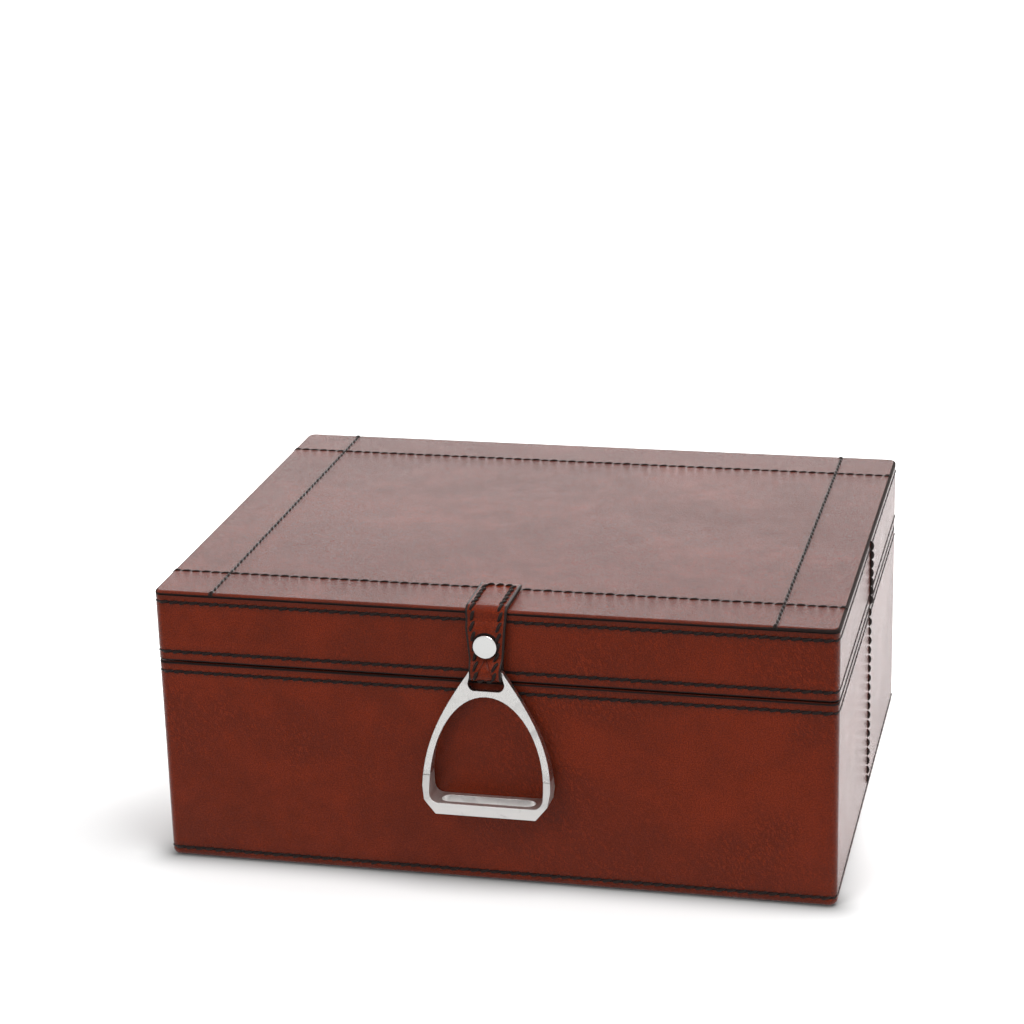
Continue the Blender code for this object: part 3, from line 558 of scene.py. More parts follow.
def leather(name, rows=(), edges=(), pale=1.0, wrinkles=1.1, strap=False):
    """Glossy reddish-brown hide. Rows are (axis, level); edges add the dye's least and greatest reach."""
    material, shader, place = new_finish(name, Specular_IOR_Level=0.125)
    # dye colours the dyed lines and also the painted shade
    dye, thread = colours().edge_dye_and_shade, colours().thread
    light, deep = shaded(colours().leather, pale), shaded(colours().leather_deep, pale)
    axes = separated(place)
    height, patches, creases, specks = grouped(hide_grain, Position=place, Wrinkles=wrinkles)
    # Painted shade: the grain's creases are darkened towards the deep colour, on top of their bump
    colour = blend(creases * 0.9, blend(patches, deep, light), deep)
    colour = blend(1.0, colour, specks.remap(0.0, 1.0, 0.70, 1.25), "MULTIPLY")
    rough = patches.remap(0.0, 1.0, 0.27, 0.21, smooth=False)
    if rows:
        gap, *others = [abs(abs(axes[axis]) - level) for axis, level in rows]
        for other in others:
            gap = gap.reckon("MINIMUM", other)
        # Painted shade in the groove beside each row, in the edge colour
        colour = blend(gap.remap(0.0, ROW_SHADE, 0.22, 0.0), colour, dye)
        # Painted shade: a thread-coloured line under each row darkens the stitch holes and the gaps between
        # the stitches
        reach = abs(axes[0]).remap(HALF_X - 0.004, HALF_X - 0.0005, 0.00085, 0.00045)
        line = grouped(uneven_line, Position=place, Distance=gap, Reach=reach, Unevenness=0.2)[0]
        colour = blend(line * 0.95, colour, thread)
    for axis, level, least, greatest, *span in edges:
        gap = abs(axes[axis] - level)
        begin, finished = span or (0.6 * HALF_X, 0.97 * HALF_X)
        reach = axes[0].remap(begin, finished, least, greatest)
        # Painted shade beside each cut edge, where the hides meet
        colour = blend(gap.remap(0.0, EDGE_SHADE, 0.38, 0.0), colour, dye)
        line = grouped(uneven_line, Position=place, Distance=gap, Reach=reach, Unevenness=0.15)[0]
        colour = blend(line, colour, dye)
        rough = rough.reckon("MAXIMUM", line * 0.75)
    if strap:
        ring, crease = strap_marks(axes)
        # Painted shade: a dark ring round the stud and darkened creases under it
        colour = blend(ring.reckon("MAXIMUM", crease * 0.45), colour, thread)
        height = height - crease * 4.0
    dress(shader, colour, rough, height, 0.00010)
    return material


def dyed_edge(name, shine, rough):
    """Burnished black edge of a strap or sheet."""
    material, shader, place = new_finish(name, Specular_IOR_Level=shine)
    grain, dye = noise(place, 900.0), colours().edge_dye_and_shade
    dress(shader, blend(grain.remap(0.3, 0.7), dye, shaded(dye, 1.8)),
          grain.remap(0.3, 0.7, rough, rough + 0.16), grain, 0.00008)
    return material


def waxed_thread(name):
    """Waxed black-brown thread."""
    material, shader, place = new_finish(name, Specular_IOR_Level=0.13)
    fuzz, wax = noise(place, 3000.0, 3.0, 0.65), colours().thread
    dress(shader, blend(fuzz.remap(0.3, 0.75), wax, shaded(wax, 3.2)), fuzz.remap(0.2, 0.8, 0.38, 0.6),
          fuzz, 0.00006)
    return material


def napped(name, colour, fineness, depth, sheen):
    """Suede or felt."""
    tint = (*[min(1.0, part) for part in shaded(colour, 4)], 1)
    material, shader, place = new_finish(name, Specular_IOR_Level=0.15, Sheen_Weight=sheen,
                                         Sheen_Roughness=0.45, Sheen_Tint=tint)
    height, light = grouped(fibre_nap, Position=place, Fineness=fineness)
    dress(shader, blend(light, shaded(colour, 0.78), shaded(colour, 1.2)), light.remap(0.0, 1.0, 0.95, 0.82),
          height, depth)
    return material


def metal(name, colour, low, high, stretch):
    """Polished or brushed metal with hairlines and dull smears."""
    material, shader, place = new_finish(name, Metallic=1.0)
    hairlines, smears = grouped(polish_marks, Position=place, Stretch=stretch)
    rough = hairlines.remap(0.2, 0.8, low, (low + high) / 2) + smears * ((high - low) / 2)
    relief = hairlines * 0.0002 + noise(place, 70.0, 1.0)
    dress(shader, blend(smears * 0.45, colour, shaded(colour, 0.6)), rough, relief, 0.0012)
    return material


def wood(name):
    """Light close-grained board."""
    material, shader, place = new_finish(name, Specular_IOR_Level=0.3)
    drawn, tone = turned(place, (0, 0, 0), (16.0, 1.0, 1.0)), colours().board
    pores = noise(drawn, 1500.0, 3.0, 0.7)
    figure = noise(drawn, 190.0, 5.0, 0.6, 0.9) * 0.7 + pores * 0.3
    dress(shader, blend(figure.remap(0.35, 0.65), shaded(tone, 0.6), shaded(tone, 1.15)),
          pores.remap(0.2, 0.8, 0.55, 0.75), figure, 0.0001)
    return material


def finish(name):
    """The material of that name, made when it is first asked for."""
    if name in bpy.data.materials:
        return bpy.data.materials[name]
    s, t = stitches(), colours()
    upright, level = (1.0, 1.0, 0.12), (0.12, 1.0, 1.0)
    make, *values = {
        "base_hide": (leather, [(2, s.base_upper), (2, s.base_lower)], [(2, BASE_TOP, 0.0007, 0.0009)]),
        "lid_hide": (leather, [(2, s.lid_upper), (2, s.lid_lower)],
                     [(2, LID_FOOT, 0.0008, 0.0008), (2, LID_TOP, 0.0004, 0.0004)]),
        "sheet_hide": (leather, [(0, HALF_X - s.sheet_inset), (1, HALF_Y - s.sheet_inset)],
                       [(2, SHEET_FOOT, 0.00065, 0.0017)]),
        "rim_hide": (leather, (), (), 0.55, 0.3),
        # Painted shade in the seam: the rim's side is darkened at the seam level, widest on the left and
        # fading out to the right
        "rim_side": (leather, (), [(2, SEAM_Z, 0.0022, 0.00005, -0.06, 0.03)], 0.55, 0.3),
        "strap_hide": (leather, (), (), 0.92, 1.6, True),
        "strap_edge": (dyed_edge, 0.16, 0.34),
        "sheet_edge": (dyed_edge, 0.10, 0.62),
        "thread": (waxed_thread,),
        "suede": (napped, t.lining, 2400.0, 0.0002, 0.5),
        "felt": (napped, t.felt, 1500.0, 0.0004, 0.25),
        "polished_metal": (metal, t.metal, 0.16, 0.36, upright),
        "satin_metal": (metal, shaded(t.metal, 0.83), 0.25, 0.37, upright),
        "cast_metal": (metal, shaded(t.metal, 0.82), 0.40, 0.54, level),
        "pin_steel": (metal, (0.62, 0.61, 0.60), 0.22, 0.40, (0.1, 1.0, 1.0)),
        "brass": (metal, t.brass, 0.30, 0.46, (0.1, 1.0, 1.0)),
        "board": (wood,),
    }[name]
    return make(name, *values)


# Hides

def hide_sleeve(name, foot, top, folded, rows):
    """A hide round all four walls, as one sheet of faces with its corners and grooves."""
    s = sizes()
    piece = add_block(name, (-HALF_X, -HALF_Y, foot), (HALF_X, HALF_Y, top))
    with editing(piece):
        round_corners(piece, s.corner_radius)
        if folded:
            round_level(piece, foot, s.foot_radius)
        pick(piece, "FACE", lambda f: f.normal.z < -LEVEL)
        if folded:
            bpy.ops.mesh.inset(thickness=s.turn_in - s.foot_radius)
        bpy.ops.mesh.delete(type="FACE")
        pick(piece, "FACE", lambda f: f.normal.z > LEVEL)
        bpy.ops.mesh.delete(type="FACE")
        for level in rows:
            sink_row(piece, 2, level)
    return piece


def hinge_notches():
    """Blocks where the hinge leaves lie between base and lid."""
    notches = []
    for side in ("left", "right"):
        low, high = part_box(side + "_hinge_base_leaf")
        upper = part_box(side + "_hinge_lid_leaf")[1]
        top = upper.z - NOTCH_SHORT
        notches.append(add_block(side + "_notch", (low.x - SEAT_GAP, low.y - SEAT_GAP, 2 * SEAM_Z - top),
                                 (high.x + SEAT_GAP, high.y, top)))
    return notches


def cut_notches(piece, notches):
    for notch in notches:
        carve(piece, notch)


def finish_hides(sleeve, prefix):
    """Cut a sleeve into its front and back hides, and give them thickness and soft edges."""
    s, notches = sizes(), hinge_notches()
    for label, side in (("front", -1), ("back", 1)):
        hide = copy_of(sleeve, prefix + "_" + label + "_hide")
        with editing(hide):
            select_all()
            bpy.ops.mesh.bisect(plane_co=(0, side * SEAT_GAP / 2, 0), plane_no=(0, -side, 0),
                                clear_outer=True)
        modify(hide, "SOLIDIFY", thickness=s.hide, offset=-1, use_even_offset=True)
        if side > 0:
            cut_notches(hide, notches)
        soften(hide, s.cut_edge)
        complete(hide, prefix, [prefix + "_hide"], [prefix + "_" + label + "_leather"])
    discard(sleeve, *notches)


def model_base_hides():
    rows = (stitches().base_upper, stitches().base_lower)
    finish_hides(hide_sleeve("base_sleeve", BASE_FOOT, BASE_TOP, True, rows), "base")


def model_lid_hides():
    rows = (stitches().lid_upper, stitches().lid_lower)
    finish_hides(hide_sleeve("lid_sleeve", LID_FOOT, LID_TOP, False, rows), "lid")


def model_lid_sheet():
    """The sheet of hide on the lid, with its rounded, dyed edge and its crossed rows."""
    s, inset = sizes(), stitches().sheet_inset
    piece = add_block("lid_sheet_hide", (-HALF_X, -HALF_Y, SHEET_FOOT), (HALF_X, HALF_Y, TOP_Z))
    with editing(piece):
        round_corners(piece, s.corner_radius)
        round_level(piece, TOP_Z, s.sheet_edge)
        for axis, half in ((0, HALF_X), (1, HALF_Y)):
            for side in (-1, 1):
                sink_row(piece, axis, side * (half - inset), 0.4, upper_only=SHEET_FOOT + CLOSE)
    complete(piece, "lid", ["sheet_hide", "sheet_edge"], ["lid_top_leather"])
    assign(piece, 1, lambda f: abs(middle(f).x) > HALF_X - s.sheet_edge and abs(f.normal.z) < 0.97
           and abs(f.normal.x) > 0.15)


def ring(name, outer, wall, foot, top, corner, inner_corner=0.0):
    """A low wall round a rectangle, with round outer corners."""
    piece = add_block(name, (-outer[0], -outer[1], foot), (outer[0], outer[1], top))
    with editing(piece):
        pick(piece, "FACE", lambda f: abs(f.normal.z) > 0.9)
        bpy.ops.mesh.inset(thickness=wall)
        bpy.ops.mesh.bridge_edge_loops()
        if corner > 0:
            pick(piece, "EDGE", lambda e: is_upright(e) and abs(middle(e).x) > outer[0] - wall / 2)
            round_off(corner, 6)
        if inner_corner > 0:
            pick(piece, "EDGE", lambda e: is_upright(e) and abs(abs(middle(e).x) - outer[0] + wall) < CLOSE)
            round_off(inner_corner, 3)
        face_outward()
    return piece


def is_outside(face):
    """Whether a face of a rim strip lies on its outward sides."""
    return max(abs(middle(face).x) / RIM_X, abs(middle(face).y) / RIM_Y) > OUTSIDE


def model_rims():
    """The strips of hide on the wall tops, the base one with a lip that shows in the seam."""
    s = sizes()
    notches = hinge_notches()
    wall = RIM_X - LINING_X + s.lining
    for prefix in ("base", "lid"):
        low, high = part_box(prefix + "_rim_leather")
        rim = ring(prefix + "_rim_strip", (RIM_X, RIM_Y), wall, low.z, high.z, s.rim_corner)
        if prefix == "base":
            lip_foot = BASE_TOP + 0.00003
            with editing(rim):
                cut_at(2, lip_foot)
                pick(rim, "FACE", lambda f: abs(f.normal.z) < 0.5 and middle(f).z > lip_foot
                     and is_outside(f))
                bpy.ops.mesh.extrude_region_shrink_fatten(
                    TRANSFORM_OT_shrink_fatten={"value": s.rim_lip, "use_even_offset": True})
        cut_notches(rim, notches)
        soften(rim, 0.00015)
        complete(rim, prefix, ["rim_hide", "rim_side"], [prefix + "_rim_leather"])
        assign(rim, 1, lambda f: abs(f.normal.z) < 0.7 and is_outside(f))
    discard(*notches)


def model_linings():
    """Suede on the inner walls, the floor and the lid's ceiling."""
    s = sizes()
    for prefix in ("base", "lid"):
        low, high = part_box(prefix + "_wall_lining")
        walls = ring(prefix + "_wall_suede", (high.x, high.y), s.lining, low.z, high.z, 0, 0.0006)
        complete(walls, prefix, ["suede"], [prefix + "_wall_lining"])
    for prefix, node in (("base", "base_floor_lining"), ("lid", "lid_top_lining")):
        low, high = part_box(node)
        panel = add_block(node.replace("lining", "suede"), low, high)
        modify(panel, "BEVEL", width=0.0003, segments=3)
        complete(panel, prefix, ["suede"], [node])


def model_pad():
    """The felt pad under the base."""
    low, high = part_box("base_bottom_pad")
    pad = add_block("base_felt_pad", low, high)
    with editing(pad):
        round_corners(pad, 0.004, 5)
    soften(pad, 0.0004)
    complete(pad, "base", ["felt"], ["base_bottom_pad"])


# Strap

def arc_points(centre, radius, start, end, steps):
    turns = [start + (end - start) * i / steps for i in range(steps + 1)]
    return [(centre[0] + radius * math.cos(t), centre[1] + radius * math.sin(t)) for t in turns]


def strap_route():
    """The strap's middle line in Y and Z, each point with its half width."""
    thick, edge = sizes().strap, sizes().sheet_edge
    tail = SEAT_GAP + thick / 2
    loop = (-HALF_Y - STRAP_LOW.y - tail - 1.5 * thick) / 2
    bar_y, bar_z = -HALF_Y - tail - thick / 2 - loop, STRAP_LOW.z + loop + thick
    at_stud, at_loop = tail + thick + SEAT_GAP, tail + thick + 2 * loop
    tail_top = STUD_Z + 0.0075
    corner = (-HALF_Y + edge, TOP_Z - edge)
    line = [(STRAP_HIGH.y - forward, TOP_Z + tail) for forward in (0, 0.004, 0.016, 0.026)]
    line += arc_points(corner, edge + tail, math.pi / 2, math.pi, 8)
    flat = tail_top + thick / 2 - SEAT_GAP
    high = flat + (corner[1] - flat) * 0.75
    foot, loop_top = STUD_Z - 0.00625, bar_z + thick
    for begin, end, top, low in ((tail, at_stud, high, flat), (at_stud, at_loop, foot, loop_top)):
        for i in range(9):
            share = i / 8
            smooth = share * share * (3 - 2 * share)
            line.append((-HALF_Y - begin - (end - begin) * smooth, top + (low - top) * share))
    line += arc_points((bar_y, bar_z), loop + thick / 2, math.pi, 2 * math.pi, 16)
    line += [(-HALF_Y - tail, bar_z + 0.006), (-HALF_Y - tail, tail_top)]
    route = []
    for index, (y, z) in enumerate(line):
        if y > bar_y or z < bar_z + thick:
            half = LOOP_HALF
        if y <= -HALF_Y - tail + CLOSE and z >= bar_z + thick and index < len(line) - 3:
            half = LOOP_HALF + STUD_GAIN * min(1.0, (z - bar_z - thick) / (STUD_Z - bar_z - thick))
            half += LID_GAIN * max(0.0, min(1.0, (z - STUD_Z) / (TOP_Z - STUD_Z)))
        if z > TOP_Z - edge - CLOSE:
            half = LID_HALF
        route.append((y, z, half))
    return route


def model_strap():
    """The strap: a band drawn along its route, thickened and softened."""
    s, st = sizes(), stitches()
    route = strap_route()
    start_y, start_z, start_half = route[0]
    drop_selection()
    bpy.ops.mesh.primitive_grid_add(x_subdivisions=12, y_subdivisions=1, size=1)
    piece = settle("pull_strap_band")
    with editing(piece):
        pick(piece, "VERT", lambda v: v.co.y < 0)
        bpy.ops.mesh.delete(type="VERT")
        pick(piece, "VERT", lambda v: True)
        resize((2 * start_half, 1, 1))
        bpy.ops.transform.translate(value=(0, start_y - 0.5, start_z))
        inset, beside = start_half - st.strap_inset, 0.0012
        spots = [-1.0, -0.89, -(inset + beside) / start_half, -inset / start_half,
                 -(inset - beside) / start_half, -0.3, 0.0]
        spots += [-spot for spot in reversed(spots[:-1])]
        work = bmesh.from_edit_mesh(piece.data)
        for vert, spot in zip(sorted(work.verts, key=lambda v: v.co.x), spots):
            vert.co.x = spot * start_half
        bmesh.update_edit_mesh(piece.data)
        for (y0, z0, half0), (y1, z1, half1) in zip(route, route[1:]):
            extrude((0, y1 - y0, z1 - z0))
            resize((half1 / half0, 1, 1), (0, y1, z1))
        face_outward()
    if len(piece.data.vertices) != len(spots) * len(route):
        raise RuntimeError("the strap's band has the wrong number of points")
    if piece.data.polygons[6].normal.z < 0:
        with editing(piece):
            select_all()
            bpy.ops.mesh.flip_normals()
    give(piece, "strap_hide", "strap_edge")
    assign(piece, 1, lambda f: any(e.is_boundary and abs(e.verts[0].co.x - e.verts[1].co.x)
                                   < 0.4 * e.calc_length() for e in f.edges))
    modify(piece, "SOLIDIFY", thickness=s.strap, offset=0, use_even_offset=True, material_offset_rim=1)
    soften(piece, SOFT_EDGE, segments=3, material=1)
    bpy.ops.object.shade_smooth_by_angle(angle=math.radians(SMOOTH_SEWING))
    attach(piece, "lid")
    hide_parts("pull_strap")


# Stitching

class Seam:
    """A line over the leather: points, and the way out of the leather at each."""

    def __init__(self, points, outs):
        self.points = [Vector(p) for p in points]
        self.outs = [Vector(o).normalized() for o in outs]
        self.marks = [0.0]
        for a, b in zip(self.points, self.points[1:]):
            self.marks.append(self.marks[-1] + (b - a).length)
        self.length = self.marks[-1]
        self.last = 0

    def at(self, distance):
        """Point, way out and way along at a distance from the start."""
        marks = self.marks
        i = self.last
        while i > 0 and marks[i] > distance:
            i -= 1
        while i < len(marks) - 2 and marks[i + 1] < distance:
            i += 1
        self.last = i
        run = self.points[i + 1] - self.points[i]
        share = (distance - marks[i]) / (marks[i + 1] - marks[i])
        out = self.outs[i].lerp(self.outs[i + 1], max(0.0, min(1.0, share)))
        return self.points[i] + run * share, out, run.normalized()


def model_stitch():
    """One stitch: two strands laid together, fat in the middle, its ends pulled into their holes."""
    st = stitches()
    length, radius = st.pitch * 0.99, st.thread / 2
    twist = math.radians(26)
    # Place along the stitch, size and height of each section
    rings = ((-0.49, 0.24, -0.75), (-0.42, 0.60, -0.15), (-0.25, 0.96, 0.34), (0.0, 1.04, 0.50),
             (0.25, 0.96, 0.34), (0.42, 0.60, -0.15), (0.49, 0.24, -0.75))
    drop_selection()
    share, size, height = rings[0]
    centre = Vector((share * length, share * st.slant, height * radius))
    bpy.ops.mesh.primitive_circle_add(vertices=st.strands, radius=radius * size, fill_type="NGON",
                                      location=centre, rotation=(0, math.pi / 2, 0))
    stitch = settle("stitch")
    with editing(stitch):
        select_all()
        resize((1, 1, 0.72), centre)
        for share, next_size, height in rings[1:]:
            place = Vector((share * length, share * st.slant, height * radius))
            extrude(place - centre)
            resize((1, next_size / size, next_size / size), place)
            bpy.ops.transform.rotate(value=twist, orient_axis="X", center_override=place)
            centre, size = place, next_size
        face_outward()
    return stitch


def lay_stitches(work, stitch, seam, start=0.0, end=None, keep=None, shift=0.0, flip=1.0, proud=1.0, lean=0.0,
                 wide=1.0, long=1.0, lift=0.0, calm=0.0):
    """Copy the stitch along a seam, each copy bent to it. Calm flattens the stitches on the ends."""
    st = stitches()
    end = seam.length if end is None else end
    count = max(1, round((end - start) / st.pitch))
    pitch = (end - start) / count
    for index in range(count):
        centre = start + (index + 0.5) * pitch
        if keep is not None and not keep(seam.at(centre)[0]):
            continue
        copy = stitch.data.copy()
        drift = shift + 0.07 * st.thread * math.sin(2.4 * index)
        tilt = lean + 0.045 * math.sin(1.7 * index + 1)
        swell = 1 + 0.12 * math.sin(3.1 * index)
        for vert in copy.vertices:
            along, across, out = vert.co
            across += along * tilt
            place, way_out, run = seam.at(centre + along * long * pitch / st.pitch)
            side = way_out.cross(run)
            rest = 1 - calm * abs(way_out.x)
            vert.co = (place + side * (across * wide * flip * rest + drift)
                       + way_out * (out * proud * swell * rest + lift))
        work.from_mesh(copy)
        bpy.data.meshes.remove(copy)


def wall_seam(level):
    """Line round all four walls at a height, from the back's middle."""
    s = sizes()
    sunk = stitches().groove * 0.8
    x, y, r = HALF_X - s.corner_radius, HALF_Y - s.corner_radius, s.corner_radius - sunk
    points, outs = [(0, HALF_Y - sunk, level)], [(0, 1, 0)]
    for quarter, (cx, cy) in enumerate(((-x, y), (-x, -y), (x, -y), (x, y))):
        start = math.pi / 2 * (quarter + 1)
        for i in range(9):
            turn = start + math.pi / 2 * i / 8
            out = (math.cos(turn), math.sin(turn), 0)
            points.append((cx + r * out[0], cy + r * out[1], level))
            outs.append(out)
    return Seam(points + points[:1], outs + outs[:1])


def sheet_seam(axis, level):
    """Line over the lid sheet, from edge to edge, across an axis at a level."""
    edge, sunk = sizes().sheet_edge, stitches().groove * 0.8
    half = HALF_Y if axis == 0 else HALF_X
    profile = [(-half, TOP_Z - edge - 0.0004, -1, 0)]
    for i in range(7):
        turn = math.pi - math.pi / 2 * i / 6
        profile.append((-half + edge + edge * math.cos(turn), TOP_Z - edge + edge * math.sin(turn),
                        math.cos(turn), math.sin(turn)))
    profile += [(-a, z, -oa, oz) for a, z, oa, oz in reversed(profile)]
    points, outs = [], []
    for a, z, oa, oz in profile:
        a, z = a - oa * sunk, z - oz * sunk
        points.append((level, a, z) if axis == 0 else (a, level, z))
        outs.append((0, oa, oz) if axis == 0 else (oa, 0, oz))
    return Seam(points, outs)


def mesh_piece(name, work):
    """A piece from a working mesh."""
    mesh = bpy.data.meshes.new(name)
    work.to_mesh(mesh)
    work.free()
    return show(bpy.data.objects.new(name, mesh))


def complete_stitching(prefix, work, body):
    complete(mesh_piece(prefix + "_stitching", work), body, ["thread"], angle=SMOOTH_SEWING)


def model_wall_stitching():
    """Rows round the walls of base and lid, and the upright rows over the end seams."""
    st = stitches()
    stitch = model_stitch()
    clear = STRAP_HIGH.x + 0.0012
    sunk = st.groove * 0.2
    for prefix, levels, span in (
            ("base", (st.base_upper, st.base_lower), (st.base_lower + 0.002, BASE_TOP - 0.0004)),
            ("lid", (st.lid_lower, st.lid_upper), (LID_FOOT + 0.0004, LID_TOP - 0.0002))):
        work = bmesh.new()
        for level in levels:
            keep = (lambda p: p.y > 0 or abs(p.x) > clear) if prefix == "lid" else None
            lay_stitches(work, stitch, wall_seam(level), keep=keep, proud=0.8, wide=1.12, calm=0.5)
        for side in (-1, 1):
            upright = Seam([(side * (HALF_X - sunk), 0, height) for height in span], [(side, 0, 0)] * 2)
            if prefix == "base":
                lay_stitches(work, stitch, upright, wide=0.85, long=1.12, lift=0.0001)
            else:
                lay_stitches(work, stitch, upright, proud=1.45, wide=1.15, long=1.5, lift=0.0002, lean=0.1)
        complete_stitching(prefix + "_wall", work, prefix)
    discard(stitch)


def model_sheet_stitching():
    """Crossed rows on the lid sheet, each ended with a doubled stitch."""
    st = stitches()
    stitch = model_stitch()
    clear = STRAP_HIGH.x + 0.0008
    work = bmesh.new()
    for axis, half in ((0, HALF_X), (1, HALF_Y)):
        for side in (-1, 1):
            seam = sheet_seam(axis, side * (half - st.sheet_inset))
            keep = (lambda p: p.y > 0 or abs(p.x) > clear) if axis == 1 and side < 0 else None
            lay_stitches(work, stitch, seam, keep=keep, proud=0.65, wide=0.85, long=1.1)
            for first in (0.0, seam.length - st.pitch * 0.9):
                lay_stitches(work, stitch, seam, first, first + st.pitch * 0.9, shift=0.0009, flip=-1,
                             proud=0.6, wide=0.7)
    complete_stitching("lid_sheet", work, "lid")
    discard(stitch)


def cross_seam(place, reach, out):
    """Line across the strap."""
    side = Vector((reach, 0, 0))
    return Seam([place - side, place + side], [out, out])


def model_strap_stitching():
    """Rows along the strap's edges, joined across its fold."""
    st, s = stitches(), sizes()
    stitch = model_stitch()
    route = strap_route()
    outs = []
    for i in range(len(route)):
        a, b = route[max(0, i - 1)], route[min(len(route) - 1, i + 1)]
        outs.append(Vector((0, a[1] - b[1], b[0] - a[0])).normalized())
    if outs[0].z < 0:
        outs = [-o for o in outs]
    lift = s.strap / 2 - st.groove * 0.4
    # The last point where the front of the strap can still be sewn, at the bottom of its loop
    fold = max(i for i, (y, z, half) in enumerate(route[:-3]) if z <= route[-2][1]
               and outs[i].y < -0.5 and outs[i].z > -0.75)
    work = bmesh.new()
    for side in (-1, 1):
        points = [Vector((side * (half - st.strap_inset), y, z)) + outs[i] * lift
                  for i, (y, z, half) in enumerate(route[:fold + 1])]
        seam = Seam(points, outs[:fold + 1])
        lay_stitches(work, stitch, seam, start=END_SEWN, lean=0.04, flip=-1, wide=1.35, long=1.15)
    for i, forward in ((fold, 0), (0, END_SEWN)):
        y, z, half = route[i]
        place = Vector((0, y - forward, z)) + outs[i] * lift
        lay_stitches(work, stitch, cross_seam(place, half - st.strap_inset, outs[i]))
    complete_stitching("pull_strap", work, "lid")
    discard(stitch)


# Hard parts

def dress_boards():
    for name, node in frame["nodes"].items():
        if name.endswith("_board"):
            node.data.materials.clear()
            give(node, "board")


def model_screws(prefix, direction):
    """Slotted countersunk screws of one set of leaves. Direction 1 points up."""
    names = [n for n in frame["nodes"] if "_hinge_" + prefix + "_screw_" in n]
    head, tip = 0.0011, 0.0015
    work = bmesh.new()
    for name in names:
        low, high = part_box(name)
        centre = (low + high) / 2
        face = high.z if direction < 0 else low.z
        length, radius = high.z - low.z, (high.x - low.x) / 2
        drop_selection()
        bpy.ops.mesh.primitive_cylinder_add(vertices=24, radius=radius, depth=head,
                                            location=(0, 0, -head / 2), end_fill_type="NGON")
        screw = settle("screw")
        with editing(screw):
            pick(screw, "FACE", lambda f: f.normal.z < -0.9)
            resize((0.48, 0.48, 1))
            extrude((0, 0, head + tip - length))
            extrude((0, 0, -tip))
            resize((0.1, 0.1, 1), (0, 0, -length))
        slot = add_block("slot", (-0.004, -0.0003, -0.0006), (0.004, 0.0003, 0.001))
        carve(screw, slot)
        angle = math.radians(37 * (names.index(name) + 1))
        turn = Matrix.Rotation(math.pi, 4, "X") if direction > 0 else Matrix.Identity(4)
        place = Matrix.Translation((centre.x, centre.y, face))
        screw.data.transform(place @ turn @ Matrix.Rotation(angle, 4, "Z"))
        work.from_mesh(screw.data)
        discard(screw, slot)
    complete(mesh_piece(prefix + "_hinge_screws", work), prefix, ["brass"], names, angle=30)


def model_hinges():
    """Leaves with softened edges and smooth barrels, pins, and slotted screws."""
    for side in ("left", "right"):
        for prefix in ("base", "lid"):
            node = side + "_hinge_" + prefix + "_leaf"
            leaf = merged_copy(node, side + "_" + prefix + "_hinge_leaf")
            complete(leaf, prefix, ["brass"], [node], angle=30)
        pin = merged_copy(side + "_hinge_pin", side + "_hinge_pin_rod")
        soften(pin, 0.0002)
        complete(pin, "base", ["pin_steel"], [side + "_hinge_pin"], angle=30)
    model_screws("base", -1)
    model_screws("lid", 1)


def model_stud():
    """The stud: a flat polished cap with a rounded rim on its shank, and its burr."""
    low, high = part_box("pull_stud")
    radius, cap = (high.x - low.x) / 2, 0.0022
    shank_end = high.y - low.y
    drop_selection()
    bpy.ops.mesh.primitive_cylinder_add(vertices=72, radius=radius, depth=cap, location=(0, 0, -cap / 2),
                                        end_fill_type="NGON")
    stud = settle("pull_stud_cap")
    with editing(stud):
        round_level(stud, 0, 0.0006)
        pick(stud, "FACE", lambda f: f.normal.z > LEVEL)
        for inset, rise in ((0.0012, 0.00003), (0.0016, 0.00002)):
            bpy.ops.mesh.inset(thickness=inset)
            bpy.ops.transform.translate(value=(0, 0, rise))
        pick(stud, "FACE", lambda f: f.normal.z < -0.9)
        bpy.ops.mesh.inset(thickness=radius - 0.0015)
        extrude((0, 0, cap - shank_end))
    place = Matrix.Translation((0, low.y + 0.00005, STUD_Z))
    stud.data.transform(place @ Matrix.Rotation(math.pi / 2, 4, "X"))
    complete(stud, "lid", ["polished_metal"], ["pull_stud"], angle=40)
    burr = merged_copy("stud_burr", "stud_burr_washer")
    complete(burr, "lid", ["pin_steel"], ["stud_burr"], angle=30)


def model_stirrup():
    """The stirrup's bow and tread, smoothed."""
    for part in ("bow", "tread"):
        piece = merged_copy("stirrup_" + part, "stirrup_" + part + "_polished")
        soften(piece, SOFT_EDGE, angle=40, harden_normals=True)
        shine = "cast_metal" if part == "tread" else "satin_metal"
        complete(piece, "stirrup", [shine], ["stirrup_" + part], angle=32)


# Stage

def add_light(name, place, target, size, power):
    lamp = bpy.data.lights.new(name, "AREA")
    lamp.shape = "SQUARE"
    lamp.size, lamp.energy = size, power
    holder = show(bpy.data.objects.new(name, lamp))
    holder.location = place
    holder.rotation_euler = (Vector(target) - Vector(place)).to_track_quat("-Z", "Y").to_euler()
    return holder


def light_paths(tree):
    """1 for camera, glossy and transmission rays, in turn."""
    path = tree.nodes.new("ShaderNodeLightPath").outputs
    return [Signal(path["Is " + kind + " Ray"]) for kind in ("Camera", "Glossy", "Transmission")]


